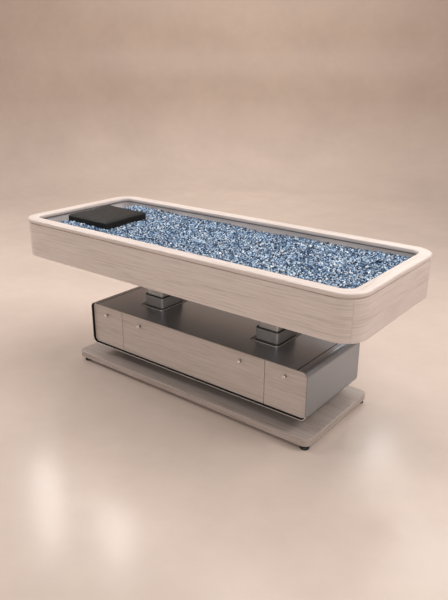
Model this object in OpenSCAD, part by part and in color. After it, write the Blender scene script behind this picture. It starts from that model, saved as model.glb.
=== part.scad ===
// Height-adjustable crystal bed: a wooden tub of quartz chips on two lifting columns,
// over a drawer cabinet and a wooden base plate on four levelling feet.
// The origin is on the floor, under the middle of the tub. X runs to the foot end,
// Y runs away from the drawer fronts and Z runs up. All sizes are in millimetres.

/* [Tub] */
// Length of the apron
tub_l = 2200; // [2100:10:2300]
// Width of the apron
tub_d = 860; // [830:5:930]
// Corner radius of the apron, seen from above
tub_corner_r = 115; // [100:1:130]
// Height of the apron's lower edge above the floor, with the columns at rest
tub_z = 660; // [655:5:700]
// Height of the apron
apron_h = 199; // [190:1:230]
// Thickness of the apron's panels
apron_t = 18; // [15:1:21]
// Thickness of the rim
rim_t = 22; // [18:1:28]
// Width of the rim
rim_w = 66; // [64:1:76]
// How far the rim stands out past the apron
rim_over = 4; // [3:1:8]
// Rounding of the rim's long edges
rim_edge_r = 7; // [3:1:8]

/* [Liner and filling] */
// How far the liner's wall stands back under the rim
liner_setback = 12; // [8:1:15]
// Thickness of the liner
liner_t = 3; // [2:0.5:4]
// Width of the liner's flange under the rim
liner_flange_w = 18; // [14:1:20]
// Mean depth of the quartz chips
fill_depth = 64; // [55:1:75]
// Height of the gentle swells in the quartz
fill_wave = 4; // [2:0.5:6]
// How much lower the quartz lies in the middle of the tub than at its mean level
fill_sag = 6; // [0:1:8]
// Rise of the quartz towards the head end
fill_rise = 3; // [0:1:6]
// Height of the rough heaps in the quartz
fill_relief = 4.4; // [0:0.2:6]
// Thickness of the heating mats
mat_t = 4; // [3:0.5:5]
// Thickness of the insulation board
insulation_t = 28; // [20:1:34]
// Thickness of the support board
support_t = 15; // [12:1:18]

/* [Pillow] */
// Length of the head pillow along the tub
pillow_l = 340; // [320:5:400]
// Width of the head pillow
pillow_d = 335; // [300:5:380]
// Thickness of the head pillow
pillow_h = 48; // [40:1:60]
// Gap seen from above between the apron's head end and the pillow
pillow_gap = 135; // [95:5:160]
// Distance from the tub's centre line to the pillow's middle, towards the drawers
pillow_y = 24; // [0:0.5:40]
// How far the pillow is pressed into the quartz
pillow_sink = 12; // [9:1:15]

/* [Subframe] */
// Width of the frame's tubes
frame_w = 40; // [36:1:44]
// Height of the frame's tubes
frame_h = 40; // [30:1:42]
// Wall of the frame's tubes
frame_wall = 3; // [2:0.5:4]
// Length of a head plate on top of a column
head_plate_l = 200; // [190:5:220]
// Depth of a head plate
head_plate_d = 220; // [210:5:260]
// Thickness of the head plates
head_plate_t = 8; // [6:1:10]

/* [Lifting columns] */
// Distance between the two columns
column_pitch = 805; // [790:5:840]
// Distance from the tub's middle to the base's middle, towards the foot end
base_shift = 45; // [0:5:60]
// Length of the outer stage
outer_l = 142; // [130:1:150]
// Depth of the outer stage
outer_d = 184; // [174:1:190]
// Corner radius of the outer stage
outer_r = 14; // [13:1:16]
// Wall of all three stages
stage_wall = 3; // [2.5:0.5:4]
// Step from each stage's face to the next
stage_inset = 10; // [9:0.5:11]
// Rise of the outer stage above the cabinet
outer_rise = 68; // [60:1:80]
// Travel down from rest
travel_down = 150; // [100:5:150]
// Travel up from rest
travel_up = 100; // [60:5:100]
// Radius of the lifting spindles
spindle_r = 9; // [7:0.5:10]
// Thickness of the flanges round the columns
flange_t = 4; // [3:0.5:6]
// Width of the flange past the column, along the bed
flange_over_l = 18; // [14:0.5:22]
// Width of the flange past the column, across the bed
flange_over_d = 27; // [22:0.5:32]

/* [Cabinet] */
// Length of the cabinet
cab_l = 1516; // [1480:4:1560]
// Depth of the cabinet
cab_d = 534; // [520:2:580]
// Height of the cabinet
cab_h = 262; // [252:1:280]
// Gap between the base plate and the cabinet
cab_gap = 66; // [50:1:75]
// Outer corner radius of the cabinet's metal shell
cab_r = 32; // [28:1:38]
// Thickness of the metal shell
shell_t = 4; // [3:0.5:5]
// Distance from the cabinet's end to the joint in its top
top_joint = 57; // [50:1:64]
// Width of the joint in the cabinet's top
top_seam = 1.6; // [0.6:0.2:2.4]
// Thickness of the upright boards
upright_t = 16; // [14:1:18]
// Thickness of the back panel
back_t = 12; // [8:1:16]
// How far the back panel stands in from the shell's rear edge
back_recess = 14; // [12:1:20]
// Distance from a column's outer side to the seam between the fronts
seam_gap = 32; // [28:0.5:42]

/* [Drawers] */
// Thickness of the drawer fronts
front_t = 18; // [16:1:20]
// How far the fronts stand in from the shell's front edge
front_recess = 13; // [8:1:16]
// Gap round the fronts
front_gap = 3; // [2:0.5:4]
// Space behind the drawer boxes
box_back_gap = 45; // [20:1:75]
// Height of the drawer boxes
box_h = 180; // [150:1:190]
// Wall of the drawer boxes
box_wall = 12; // [9:1:14]
// Thickness of the drawer bottoms
box_floor = 8; // [6:1:10]
// Height of the runners
runner_h = 35; // [30:1:42]
// Space for a runner on each side of a box
runner_w = 12.5; // [12:0.5:14]
// Radius of the knobs
knob_r = 10; // [8:0.5:12]
// How far the knobs stand out from the fronts
knob_out = 22; // [18:1:26]
// Height of the knobs above the cabinet's underside
knob_z = 203; // [190:1:210]
// Distance from the cabinet's middle to each knob of the wide drawer
knob_x = 358; // [340:1:380]

/* [Base] */
// Length of the base plate
base_l = 1655; // [1620:5:1690]
// Depth of the base plate
base_d = 630; // [610:5:680]
// Thickness of the base plate
base_t = 38; // [36:1:44]
// Corner radius of the base plate
base_r = 38; // [30:1:45]
// Distance from the cabinet's middle to the base plate's middle, towards the head end
plate_shift = 23.5; // [0:0.5:30]
// Height of the base plate above the floor
foot_h = 22; // [20:1:26]
// Radius of the feet
foot_r = 24; // [20:0.5:25]
// Distance from the base plate's head end to the middles of the feet
foot_inset_head = 59; // [50:1:70]
// Distance from the base plate's foot end to the middles of the feet
foot_inset_foot = 32; // [30:1:46]
// Distance from the base plate's long edges to the middles of the feet
foot_inset_side = 30; // [28:1:46]
// Radius of the feet's threaded stems
stem_r = 5; // [4:0.5:6]
// How far a foot can be screwed out
foot_travel = 10; // [6:1:12]

/* [Hidden] */
$fn = 64;

// Clearances and small sizes shared by many pieces
rest_gap = 0.3;
slide_gap = 0.3;
hole_gap = 0.5;
overrun = 5;

// Heights of the base, the cabinet and the columns
base_z = foot_h;
base_top = base_z + base_t;
cab_z = base_top + cab_gap;
cab_top = cab_z + cab_h;
cab_mid = cab_z + cab_h / 2;
foot_plate_t = 8;
foot_plate_top = base_top + foot_plate_t;
outer_top = cab_top + outer_rise;
seal_h = 5;
seal_sleeve = 25;
guide_h = 40;
stage_step = 13;
middle_top = outer_top + stage_step + travel_down / 2;
middle_bottom = foot_plate_top + guide_h / 2 + travel_down / 2;
plate_recess = 6;
head_plate_z = tub_z + plate_recess;
stage_overlap = 165;
inner_bottom = middle_top - travel_up / 2 - stage_overlap;
gearbox_h = 28;
motor_h = 58;
gearbox_z = head_plate_z - motor_h - gearbox_h;
nut_clear = 10;
nut_top = gearbox_z - travel_down - nut_clear;
spindle_clear = 22;
spindle_bottom = foot_plate_top + spindle_clear + travel_down;
column_x = [base_shift - column_pitch / 2, base_shift + column_pitch / 2];

// Footprints of the telescoping stages, each stepped in from the one outside it
middle_l = outer_l - 2 * stage_inset;
middle_d = outer_d - 2 * stage_inset;
middle_r = outer_r - stage_wall;
inner_l = middle_l - 2 * stage_inset;
inner_d = middle_d - 2 * stage_inset;
inner_r = middle_r - stage_wall;

// Foot plates and their bolts
foot_plate_over_l = 35;
foot_plate_over_d = 30;
foot_plate_l = outer_l + 2 * foot_plate_over_l;
foot_plate_d = outer_d + 2 * foot_plate_over_d;
foot_bolt_r = 5;
foot_bolt_head_r = 8;
foot_bolt_head_h = 6;
foot_bolt_l = 38;
foot_bolt_edge = 15;

// Spindles, nuts and drives
spindle_y = -28;
nut_bore_gap = 0.05;
nut_h = 30;
nut_tube_r = 16;
nut_tube_bore = 11.5;
gearbox_side = 4;
motor_r = 27;
motor_y = 30;

// Head plates and their bolts
head_bolt_r = 4;
head_bolt_head_r = 7;
head_bolt_head_h = 5;
head_bolt_edge = 14;
nut_ring_h = 6;

// Subframe, boards and liner
frame_z = head_plate_z + head_plate_t;
frame_top = frame_z + frame_h;
support_top = frame_top + support_t;
liner_z = support_top + insulation_t;
liner_floor = liner_z + liner_t;
mat_top = liner_floor + mat_t;
fill_top = mat_top + fill_depth;
apron_top = tub_z + apron_h;
panel_t = 4;
panel_gap = 3;
corner_x = tub_l / 2 - tub_corner_r;
corner_y = tub_d / 2 - tub_corner_r;
apron_in_x = tub_l / 2 - apron_t;
apron_in_y = tub_d / 2 - apron_t;
crossmember_x = head_plate_l / 2 - frame_w / 2 - head_bolt_edge / 2;
crossmember_l = 2 * (apron_in_y - frame_w);
rim_in_x = tub_l / 2 + rim_over - rim_w;
rim_in_y = tub_d / 2 + rim_over - rim_w;
liner_in_x = rim_in_x + liner_setback;
liner_in_y = rim_in_y + liner_setback;
liner_in_r = tub_corner_r + rim_over - rim_w + liner_setback;
batten_gap = 4;
batten_w = rim_w - rim_over - apron_t - liner_setback - liner_t - batten_gap;
batten_h = 30;
batten_top = apron_top - liner_t;
block_w = 25;
block_turn = 50;
board_gap = 2;
board_r = tub_corner_r - apron_t - block_w - board_gap;
mat_edge = 40;
mat_split = 34;
probe_l = 24;
probe_d = 60;

// Quartz surface, as a grid of points over the liner's plan
wave_l = 620;
wave_d = 540;
wave_turn = 60;
fill_gap = 0.3;
fill_x = liner_in_x - fill_gap;
fill_y = liner_in_y - fill_gap;
fill_r = liner_in_r - fill_gap;
nest_gap = 1.5;
nest_slope = 9;
nest_x = -(tub_l / 2 - pillow_gap - pillow_l / 2);
nest_y = -pillow_y;
nest_half_x = pillow_l / 2 + nest_gap;
nest_half_y = pillow_d / 2 + nest_gap;
pillow_z = mean_level(nest_x) - pillow_sink;
nest_floor = pillow_z - rest_gap;
// Counts of grid steps at the head, across the nest and at the foot
head_steps = 2;
nest_steps = 8;
foot_steps = 38;
side_steps = 5;
// Turns that spread the rough heaps unevenly from point to point of the grid
heap_turn = 137.5;
heap_skip = 21;

// Head pillow, as stacked outlines with steps round each corner and along each side
pillow_draw = 3;
pillow_crown = 5;
pillow_edge = 7;
pillow_r = 20;
pillow_corner_steps = 4;
pillow_side_steps = 8;
// Share of the crown's height, and of the outline, at each ring of the crown
crown_shares = [[0.45, 0.8], [0.8, 0.5], [1, 0.15]];
// Share of the rounded edge's height and depth, at each ring of the edge
edge_shares = [[0, 1], [0.25, 0.25], [1, 0]];

// Cabinet insides
upright_front = -cab_d / 2 + front_recess + front_t + front_gap;
upright_back = cab_d / 2 - back_recess - back_t;
side_board_t = 12;
side_board_x = cab_l / 2 - shell_t - side_board_t / 2;
side_board_h = cab_h - 2 * cab_r;
bay_gap = 9;
inner_divider_x = column_pitch / 2 - outer_l / 2 - bay_gap - upright_t / 2;
seam_x = column_pitch / 2 + outer_l / 2 + seam_gap;
side_bay_out = cab_l / 2 - shell_t - side_board_t;
side_bay_in = seam_x + upright_t / 2;
centre_bay = inner_divider_x - upright_t / 2;
plinth_l = 1240;
plinth_d = 300;
plinth_t = 16;

// Drawer boxes and runners
front_y = -cab_d / 2 + front_recess;
box_y = front_y + front_t;
box_d = upright_back - box_back_gap - box_y;
box_lift = 22;
box_z = cab_z + box_lift;
runner_z = box_z + (box_h - runner_h) / 2;
runner_wall = 2;
runner_reach = 8;
runner_l = box_d;
runner_bar = runner_w - runner_wall - hole_gap;
side_box_l = side_bay_out - side_bay_in - 2 * runner_w;
side_box_x = (side_bay_out + side_bay_in) / 2;
centre_box_l = 2 * (centre_bay - runner_w);
knob_stem_r = 4.5;
knob_head_h = 9;
knob_dome = 3;
side_knob_x = (cab_l / 2 - shell_t - front_gap + seam_x) / 2;

// Control box and mains inlet
control_l = 130;
control_d = 48;
control_h = 170;
inlet_l = 50;
inlet_h = 30;
inlet_flange_t = 3;
inlet_body_l = 28;
inlet_body_h = 20;
inlet_body_d = 32;
inlet_socket_l = 24;
inlet_socket_h = 16;
inlet_socket_d = 14;
inlet_pin = 2;
inlet_pin_step = 7;
inlet_rise = 60;
inlet_z = cab_z + inlet_rise;

// Feet
pad_h = foot_h - rest_gap;
pad_edge = 3;
insert_r = 8;
insert_h = 25;
insert_gap = 0.05;
stem_hold = 20;
stem_l = foot_travel + stem_hold;
stem_hole = stem_l + 4 * rest_gap;
plate_x = base_shift - plate_shift;
foot_x = [plate_x - base_l / 2 + foot_inset_head, plate_x + base_l / 2 - foot_inset_foot];
foot_y = base_d / 2 - foot_inset_side;

// Colours
pale_wood = [0.80, 0.72, 0.66];
pale_wood_rim = [0.86, 0.80, 0.75];
dark_shell = [0.30, 0.29, 0.28];
black_board = [0.10, 0.10, 0.10];
column_grey = [0.25, 0.27, 0.29];
steel = [0.62, 0.63, 0.65];
liner_grey = [0.60, 0.61, 0.63];
quartz_blue = [0.45, 0.55, 0.68];
black_rubber = [0.06, 0.06, 0.06];

// Shared shapes

// Rectangle with true round corners, centred
module round_rect(l, d, r) {
    square([l - 2 * r, d], center = true);
    square([l, d - 2 * r], center = true);
    for (x = [-1, 1], y = [-1, 1])
        translate([x * (l / 2 - r), y * (d / 2 - r)])
            circle(r = r);
}

// Flat ring between two rounded rectangles, standing on z
module round_ring(l, d, r, wall, z, h) {
    translate([0, 0, z])
        linear_extrude(h)
            difference() {
                round_rect(l, d, r);
                round_rect(l - 2 * wall, d - 2 * wall, r - wall);
            }
}

// Box given by its middle in X and Y and by its lower face
module slab(x, y, z, l, d, h) {
    translate([x - l / 2, y - d / 2, z])
        cube([l, d, h]);
}

// Puts a child at each column
module at_columns() {
    for (x = column_x)
        translate([x, 0, 0])
            children();
}

// The cabinet's end view, drawn in by an inset, with Z as the drawing's Y
module cabinet_outline(inset) {
    round_rect(cab_l - 2 * inset, cab_h - 2 * inset, cab_r - inset);
}

// Turns an end-view drawing into a solid from y, running away from the fronts
module run_back(y, d) {
    translate([base_shift, y + d, cab_mid])
        rotate([90, 0, 0])
            linear_extrude(d)
                children();
}

// Base

module foot_places() {
    for (x = foot_x, y = [-foot_y, foot_y])
        translate([x, y, base_z])
            children();
}

module foot_bolt_places() {
    for (x = [-1, 1], y = [-1, 1])
        translate([x * (foot_plate_l / 2 - foot_bolt_edge), y * (foot_plate_d / 2 - foot_bolt_edge), 0])
            children();
}

module base_plate() {
    color(pale_wood)
        difference() {
            translate([plate_x, 0, base_z])
                linear_extrude(base_t)
                    round_rect(base_l, base_d, base_r);
            foot_places()
                translate([0, 0, -overrun])
                    cylinder(r = insert_r, h = stem_hole + overrun);
            at_columns()
                foot_bolt_places()
                    translate([0, 0, foot_plate_top - foot_bolt_l])
                        cylinder(r = foot_bolt_r, h = foot_bolt_l);
        }
}

module foot_inserts() {
    color(steel)
        foot_places()
            difference() {
                cylinder(r = insert_r, h = insert_h);
                translate([0, 0, -overrun])
                    cylinder(r = stem_r + insert_gap, h = insert_h + 2 * overrun);
            }
}

module levelling_foot(x, y) {
    color(black_rubber)
        translate([x, y, 0])
            rotate_extrude()
                polygon([
                    [0, 0], [foot_r, 0], [foot_r, pad_h - pad_edge], [foot_r - pad_edge, pad_h],
                    [stem_r, pad_h], [stem_r, pad_h + stem_l], [0, pad_h + stem_l]
                ]);
}

module plinth() {
    color(black_board) {
        for (y = [-1, 1])
            slab(base_shift, y * (plinth_d - plinth_t) / 2, base_top, plinth_l, plinth_t, cab_gap);
        for (x = [-1, 1])
            slab(base_shift + x * (plinth_l - plinth_t) / 2, 0, base_top,
                plinth_t, plinth_d - 2 * plinth_t, cab_gap);
    }
}

// Cabinet

module column_openings(z, h) {
    at_columns()
        translate([0, 0, z])
            linear_extrude(h)
                round_rect(outer_l + 2 * hole_gap, outer_d + 2 * hole_gap, outer_r + hole_gap);
}

module cabinet_top() {
    color(dark_shell)
        difference() {
            slab(base_shift, 0, cab_top - shell_t, cab_l - 2 * top_joint, cab_d, shell_t);
            column_openings(cab_top - shell_t - overrun, shell_t + 2 * overrun);
        }
}

// Both ends and the underside, bent from one sheet, open at the top between the joints
module cabinet_wrap() {
    color(dark_shell)
        difference() {
            run_back(-cab_d / 2, cab_d)
                difference() {
                    cabinet_outline(0);
                    cabinet_outline(shell_t);
                    translate([0, cab_h / 2])
                        square([cab_l - 2 * top_joint + 2 * top_seam, 2 * shell_t + rest_gap],
                            center = true);
                }
            column_openings(cab_z - overrun, shell_t + 2 * overrun);
        }
}

module cabinet_back() {
    color(black_board)
        difference() {
            run_back(upright_back, back_t)
                cabinet_outline(shell_t + rest_gap);
            translate([column_x[1], 0, 0])
                slab(0, upright_back + back_t / 2, inlet_z - inlet_body_h / 2 - rest_gap,
                    inlet_body_l + 2 * rest_gap, back_t + 2 * overrun, inlet_body_h + 2 * rest_gap);
        }
}

module cabinet_uprights() {
    upright_d = upright_back - upright_front;
    upright_y = (upright_back + upright_front) / 2;
    color(black_board)
        for (side = [-1, 1]) {
            slab(base_shift + side * side_board_x, upright_y, cab_mid - side_board_h / 2,
                side_board_t, upright_d, side_board_h);
            for (x = [seam_x, inner_divider_x])
                slab(base_shift + side * x, upright_y, cab_z + shell_t,
                    upright_t, upright_d, cab_h - 2 * shell_t);
        }
}

// Channel screwed to an upright's face at x, open the way that it faces
module cabinet_channel(x, facing) {
    channel_y = upright_front + runner_l / 2;
    difference() {
        slab(x + facing * runner_reach / 2, channel_y, runner_z, runner_reach, runner_l, runner_h);
        slab(x + facing * (runner_wall + runner_reach / 2), channel_y, runner_z + runner_wall,
            runner_reach, runner_l + 2 * overrun, runner_h - 2 * runner_wall);
    }
}

module cabinet_rails() {
    color(steel)
        for (side = [-1, 1]) {
            cabinet_channel(base_shift + side * side_bay_out, -side);
            cabinet_channel(base_shift + side * side_bay_in, side);
            cabinet_channel(base_shift + side * centre_bay, -side);
        }
}

// Drawers

// Outline of a front between two places along the cabinet
module front_outline(from, to) {
    intersection() {
        cabinet_outline(shell_t + front_gap);
        translate([from, -cab_h / 2])
            square([to - from, cab_h]);
    }
}

module drawer_front(from, to) {
    color(pale_wood)
        run_back(front_y, front_t)
            front_outline(from, to);
}

module drawer_box(x, l) {
    color(black_board)
        difference() {
            slab(base_shift + x, box_y + box_d / 2, box_z, l, box_d, box_h);
            slab(base_shift + x, box_y + box_d / 2, box_z + box_floor,
                l - 2 * box_wall, box_d - 2 * box_wall, box_h);
        }
}

module drawer_knob(x) {
    stem_h = knob_out - knob_head_h;
    color(steel)
        translate([base_shift + x, front_y, cab_z + knob_z])
            rotate([90, 0, 0])
                rotate_extrude()
                    polygon([
                        [0, 0], [knob_stem_r, 0], [knob_stem_r, stem_h],
                        [knob_r, stem_h + knob_dome], [knob_r, knob_out - knob_dome],
                        [knob_r - knob_dome, knob_out], [0, knob_out]
                    ]);
}

// The runner's sliding half: a plate on the box's side at x, with a bar in the cabinet's channel
module drawer_rail(x, facing) {
    bar_h = runner_h - 2 * runner_wall - rest_gap - hole_gap;
    rail_y = box_y + runner_l / 2;
    slab(x + facing * runner_wall / 2, rail_y, runner_z, runner_wall, runner_l, runner_h);
    slab(x + facing * runner_bar / 2, rail_y, runner_z + runner_wall + rest_gap,
        runner_bar, runner_l, bar_h);
}

module drawer_rails(x, l) {
    color(steel)
        for (side = [-1, 1])
            drawer_rail(base_shift + x + side * l / 2, side);
}

// Control box and inlet, on the back panel behind the columns

module control_box() {
    color(black_board)
        slab(column_x[0], upright_back - control_d / 2, cab_mid - control_h / 2,
            control_l, control_d, control_h);
}

module power_inlet() {
    inlet_y = upright_back + back_t;
    color(black_rubber)
        translate([column_x[1], 0, inlet_z]) {
            difference() {
                union() {
                    slab(0, inlet_y + inlet_flange_t / 2, -inlet_h / 2,
                        inlet_l, inlet_flange_t, inlet_h);
                    slab(0, inlet_y - inlet_body_d / 2, -inlet_body_h / 2,
                        inlet_body_l, inlet_body_d, inlet_body_h);
                }
                slab(0, inlet_y + inlet_flange_t - inlet_socket_d / 2 + overrun / 2,
                    -inlet_socket_h / 2, inlet_socket_l, inlet_socket_d + overrun, inlet_socket_h);
            }
            for (x = [-1, 0, 1])
                slab(x * inlet_pin_step, inlet_y + inlet_flange_t - inlet_socket_d / 2 - inlet_pin,
                    -inlet_pin, inlet_pin, inlet_socket_d - 2 * inlet_pin, 2 * inlet_pin);
        }
}

// Columns

module column_foot_plates() {
    color(steel)
        at_columns()
            difference() {
                slab(0, 0, base_top, foot_plate_l, foot_plate_d, foot_plate_t);
                foot_bolt_places()
                    translate([0, 0, base_top - overrun])
                        cylinder(r = foot_bolt_r + hole_gap, h = foot_plate_t + 2 * overrun);
            }
}

module column_foot_bolts() {
    color(steel)
        at_columns()
            foot_bolt_places() {
                translate([0, 0, foot_plate_top - foot_bolt_l])
                    cylinder(r = foot_bolt_r, h = foot_bolt_l);
                translate([0, 0, foot_plate_top])
                    cylinder(r = foot_bolt_head_r, h = foot_bolt_head_h);
            }
}

module column_outer(x) {
    color(column_grey)
        translate([x, 0, 0])
            round_ring(outer_l, outer_d, outer_r, stage_wall, foot_plate_top,
                outer_top - seal_h - foot_plate_top);
}

module column_flanges() {
    flange_r = outer_r + flange_over_l / 2;
    color(column_grey)
        at_columns()
            translate([0, 0, cab_top])
                linear_extrude(flange_t)
                    difference() {
                        round_rect(outer_l + 2 * flange_over_l, outer_d + 2 * flange_over_d, flange_r);
                        round_rect(outer_l + 2 * rest_gap, outer_d + 2 * rest_gap, outer_r + rest_gap);
                    }
}

// Collar on a tube's open top that guides the next stage: a lip over a sleeve
module top_collar(l, d, r, z) {
    open_l = l - 2 * stage_inset + 2 * slide_gap;
    open_d = d - 2 * stage_inset + 2 * slide_gap;
    open_r = r - stage_wall + slide_gap;
    difference() {
        union() {
            translate([0, 0, z - seal_h])
                linear_extrude(seal_h)
                    round_rect(l, d, r);
            translate([0, 0, z - seal_h - seal_sleeve])
                linear_extrude(seal_sleeve)
                    round_rect(l - 2 * stage_wall, d - 2 * stage_wall, r - stage_wall);
        }
        translate([0, 0, z - seal_h - seal_sleeve - overrun])
            linear_extrude(seal_h + seal_sleeve + 2 * overrun)
                round_rect(open_l, open_d, open_r);
    }
}

// Guide ring round a tube's lower end, sliding in the tube outside it
module foot_guide(l, d, r, z) {
    ring_w = stage_inset - stage_wall - slide_gap;
    translate([0, 0, z])
        linear_extrude(guide_h)
            difference() {
                round_rect(l + 2 * ring_w, d + 2 * ring_w, r);
                round_rect(l, d, r);
            }
}

module column_seals() {
    color(black_rubber)
        at_columns()
            top_collar(outer_l, outer_d, outer_r, outer_top);
}

module column_middle(x) {
    color(column_grey)
        translate([x, 0, 0])
            round_ring(middle_l, middle_d, middle_r, stage_wall, middle_bottom,
                middle_top - seal_h - middle_bottom);
}

module middle_guides(x) {
    color(black_rubber)
        translate([x, 0, 0]) {
            top_collar(middle_l, middle_d, middle_r, middle_top);
            foot_guide(middle_l, middle_d, middle_r, middle_bottom);
        }
}

module column_inner(x) {
    color(column_grey)
        translate([x, 0, 0])
            round_ring(inner_l, inner_d, inner_r, stage_wall, inner_bottom,
                head_plate_z - inner_bottom);
}

module inner_guides() {
    color(black_rubber)
        at_columns()
            foot_guide(inner_l, inner_d, inner_r, inner_bottom);
}

module gear_motors() {
    gearbox_l = inner_l - 2 * stage_wall - 2 * gearbox_side;
    gearbox_d = inner_d - 2 * stage_wall - 2 * gearbox_side;
    color(black_board)
        at_columns() {
            slab(0, 0, gearbox_z, gearbox_l, gearbox_d, gearbox_h);
            translate([0, motor_y, gearbox_z + gearbox_h])
                cylinder(r = motor_r, h = motor_h);
        }
}

module spindles() {
    color(steel)
        at_columns()
            translate([0, spindle_y, spindle_bottom])
                cylinder(r = spindle_r, h = gearbox_z - spindle_bottom);
}

// Fixed tubes that stand on the foot plates and carry the nuts at their tops
module spindle_nuts() {
    color(steel)
        at_columns()
            translate([0, spindle_y, 0])
                rotate_extrude()
                    polygon([
                        [nut_tube_bore, foot_plate_top], [nut_tube_r, foot_plate_top],
                        [nut_tube_r, nut_top], [spindle_r + nut_bore_gap, nut_top],
                        [spindle_r + nut_bore_gap, nut_top - nut_h], [nut_tube_bore, nut_top - nut_h]
                    ]);
}

// Subframe under the tub

module head_bolt_places() {
    for (x = [-1, 1], y = [-1, 1])
        translate([x * crossmember_x, y * (head_plate_d / 2 - head_bolt_edge), 0])
            children();
}

module head_plates() {
    color(steel)
        at_columns()
            difference() {
                slab(0, 0, head_plate_z, head_plate_l, head_plate_d, head_plate_t);
                head_bolt_places()
                    translate([0, 0, head_plate_z - overrun])
                        cylinder(r = head_bolt_r + hole_gap, h = head_plate_t + 2 * overrun);
            }
}

module head_plate_bolts() {
    color(steel)
        at_columns()
            head_bolt_places()
                translate([0, 0, head_plate_z]) {
                    translate([0, 0, -head_bolt_head_h])
                        cylinder(r = head_bolt_head_r, h = head_bolt_head_h);
                    cylinder(r = head_bolt_r, h = head_plate_t + frame_wall);
                    translate([0, 0, head_plate_t + frame_wall])
                        cylinder(r = head_bolt_head_r, h = nut_ring_h);
                }
}

module frame_rails() {
    color(steel)
        for (y = [-1, 1])
            difference() {
                slab(0, y * (apron_in_y - frame_w / 2), frame_z, 2 * corner_x, frame_w, frame_h);
                slab(0, y * (apron_in_y - frame_w / 2), frame_z + frame_wall,
                    2 * corner_x + 2 * overrun, frame_w - 2 * frame_wall, frame_h - 2 * frame_wall);
            }
}

module crossmember(x) {
    difference() {
        slab(x, 0, frame_z, frame_w, crossmember_l, frame_h);
        slab(x, 0, frame_z + frame_wall,
            frame_w - 2 * frame_wall, crossmember_l + 2 * overrun, frame_h - 2 * frame_wall);
    }
}

module frame_crossmembers() {
    end_x = corner_x - frame_w / 2;
    color(steel)
        difference() {
            union() {
                for (x = [-end_x, end_x])
                    crossmember(x);
                for (c = column_x, side = [-1, 1])
                    crossmember(c + side * crossmember_x);
            }
            at_columns()
                head_bolt_places()
                    translate([0, 0, frame_z - overrun])
                        cylinder(r = head_bolt_r + hole_gap, h = frame_wall + 2 * overrun);
        }
}

module underside_panel() {
    color(black_board)
        difference() {
            translate([0, 0, frame_z - panel_t])
                linear_extrude(panel_t)
                    round_rect(2 * (apron_in_x - rest_gap), 2 * (apron_in_y - rest_gap),
                        tub_corner_r - apron_t - rest_gap);
            at_columns()
                slab(0, 0, frame_z - panel_t - overrun, head_plate_l + 2 * panel_gap,
                    head_plate_d + 2 * panel_gap, panel_t + 2 * overrun);
        }
}

module board(z, t) {
    translate([0, 0, z])
        linear_extrude(t)
            round_rect(2 * (corner_x + board_r), 2 * (corner_y + board_r), board_r);
}

module support_board() {
    color(pale_wood)
        board(frame_top, support_t);
}

module insulation_board() {
    color("white")
        board(support_top, insulation_t);
}

// Tub

module apron_plan() {
    difference() {
        round_rect(tub_l, tub_d, tub_corner_r);
        round_rect(2 * apron_in_x, 2 * apron_in_y, tub_corner_r - apron_t);
    }
}

// Panel of the apron between the seams in the middle of two corners
module long_panel(side) {
    reach = tub_corner_r + overrun;
    color(pale_wood)
        translate([0, 0, tub_z])
            linear_extrude(apron_h)
                intersection() {
                    apron_plan();
                    polygon([
                        [-corner_x, side * corner_y],
                        [-corner_x - reach, side * (corner_y + reach)],
                        [corner_x + reach, side * (corner_y + reach)],
                        [corner_x, side * corner_y]
                    ]);
                }
}

module short_panel(side) {
    reach = tub_corner_r + overrun;
    color(pale_wood)
        translate([0, 0, tub_z])
            linear_extrude(apron_h)
                intersection() {
                    apron_plan();
                    polygon([
                        [side * corner_x, -corner_y],
                        [side * (corner_x + reach), -corner_y - reach],
                        [side * (corner_x + reach), corner_y + reach],
                        [side * corner_x, corner_y]
                    ]);
                }
}

// Battens that carry the liner's flange, and blocks that join the panels at the seams
module apron_battens() {
    color(pale_wood) {
        for (y = [-1, 1])
            slab(0, y * (apron_in_y - batten_w / 2), batten_top - batten_h,
                2 * corner_x, batten_w, batten_h);
        for (x = [-1, 1])
            slab(x * (apron_in_x - batten_w / 2), 0, batten_top - batten_h,
                batten_w, 2 * corner_y, batten_h);
        for (turn = [0, 90, 180, 270])
            corner_block(turn);
    }
}

module corner_block(turn) {
    sx = turn == 0 || turn == 270 ? 1 : -1;
    sy = turn < 180 ? 1 : -1;
    block_out = tub_corner_r - apron_t;
    translate([sx * corner_x, sy * corner_y, frame_z])
        rotate([0, 0, turn + (90 - block_turn) / 2])
            rotate_extrude(angle = block_turn)
                translate([block_out - block_w, 0])
                    square([block_w, batten_top - frame_z]);
}

module tub_liner() {
    color(liner_grey)
        difference() {
            union() {
                translate([0, 0, liner_z])
                    linear_extrude(apron_top - liner_z)
                        round_rect(2 * (liner_in_x + liner_t), 2 * (liner_in_y + liner_t),
                            liner_in_r + liner_t);
                translate([0, 0, batten_top])
                    linear_extrude(liner_t)
                        round_rect(2 * (liner_in_x + liner_flange_w),
                            2 * (liner_in_y + liner_flange_w), liner_in_r + liner_flange_w);
            }
            translate([0, 0, liner_floor])
                linear_extrude(apron_top - liner_floor + overrun)
                    round_rect(2 * liner_in_x, 2 * liner_in_y, liner_in_r);
        }
}

// Section of the rim, with its inner edge at 0 and its rounded edges
module rim_section() {
    square_w = rim_w - 2 * rim_edge_r;
    square_h = rim_t - 2 * rim_edge_r;
    translate([rim_edge_r, 0])
        square([square_w, rim_t]);
    translate([0, rim_edge_r])
        square([rim_w, square_h]);
    for (x = [rim_edge_r, rim_w - rim_edge_r], y = [rim_edge_r, rim_t - rim_edge_r])
        translate([x, y])
            circle(r = rim_edge_r);
}

module rim_bar(l) {
    rotate([90, 0, 0])
        linear_extrude(l, center = true)
            rim_section();
}

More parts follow.
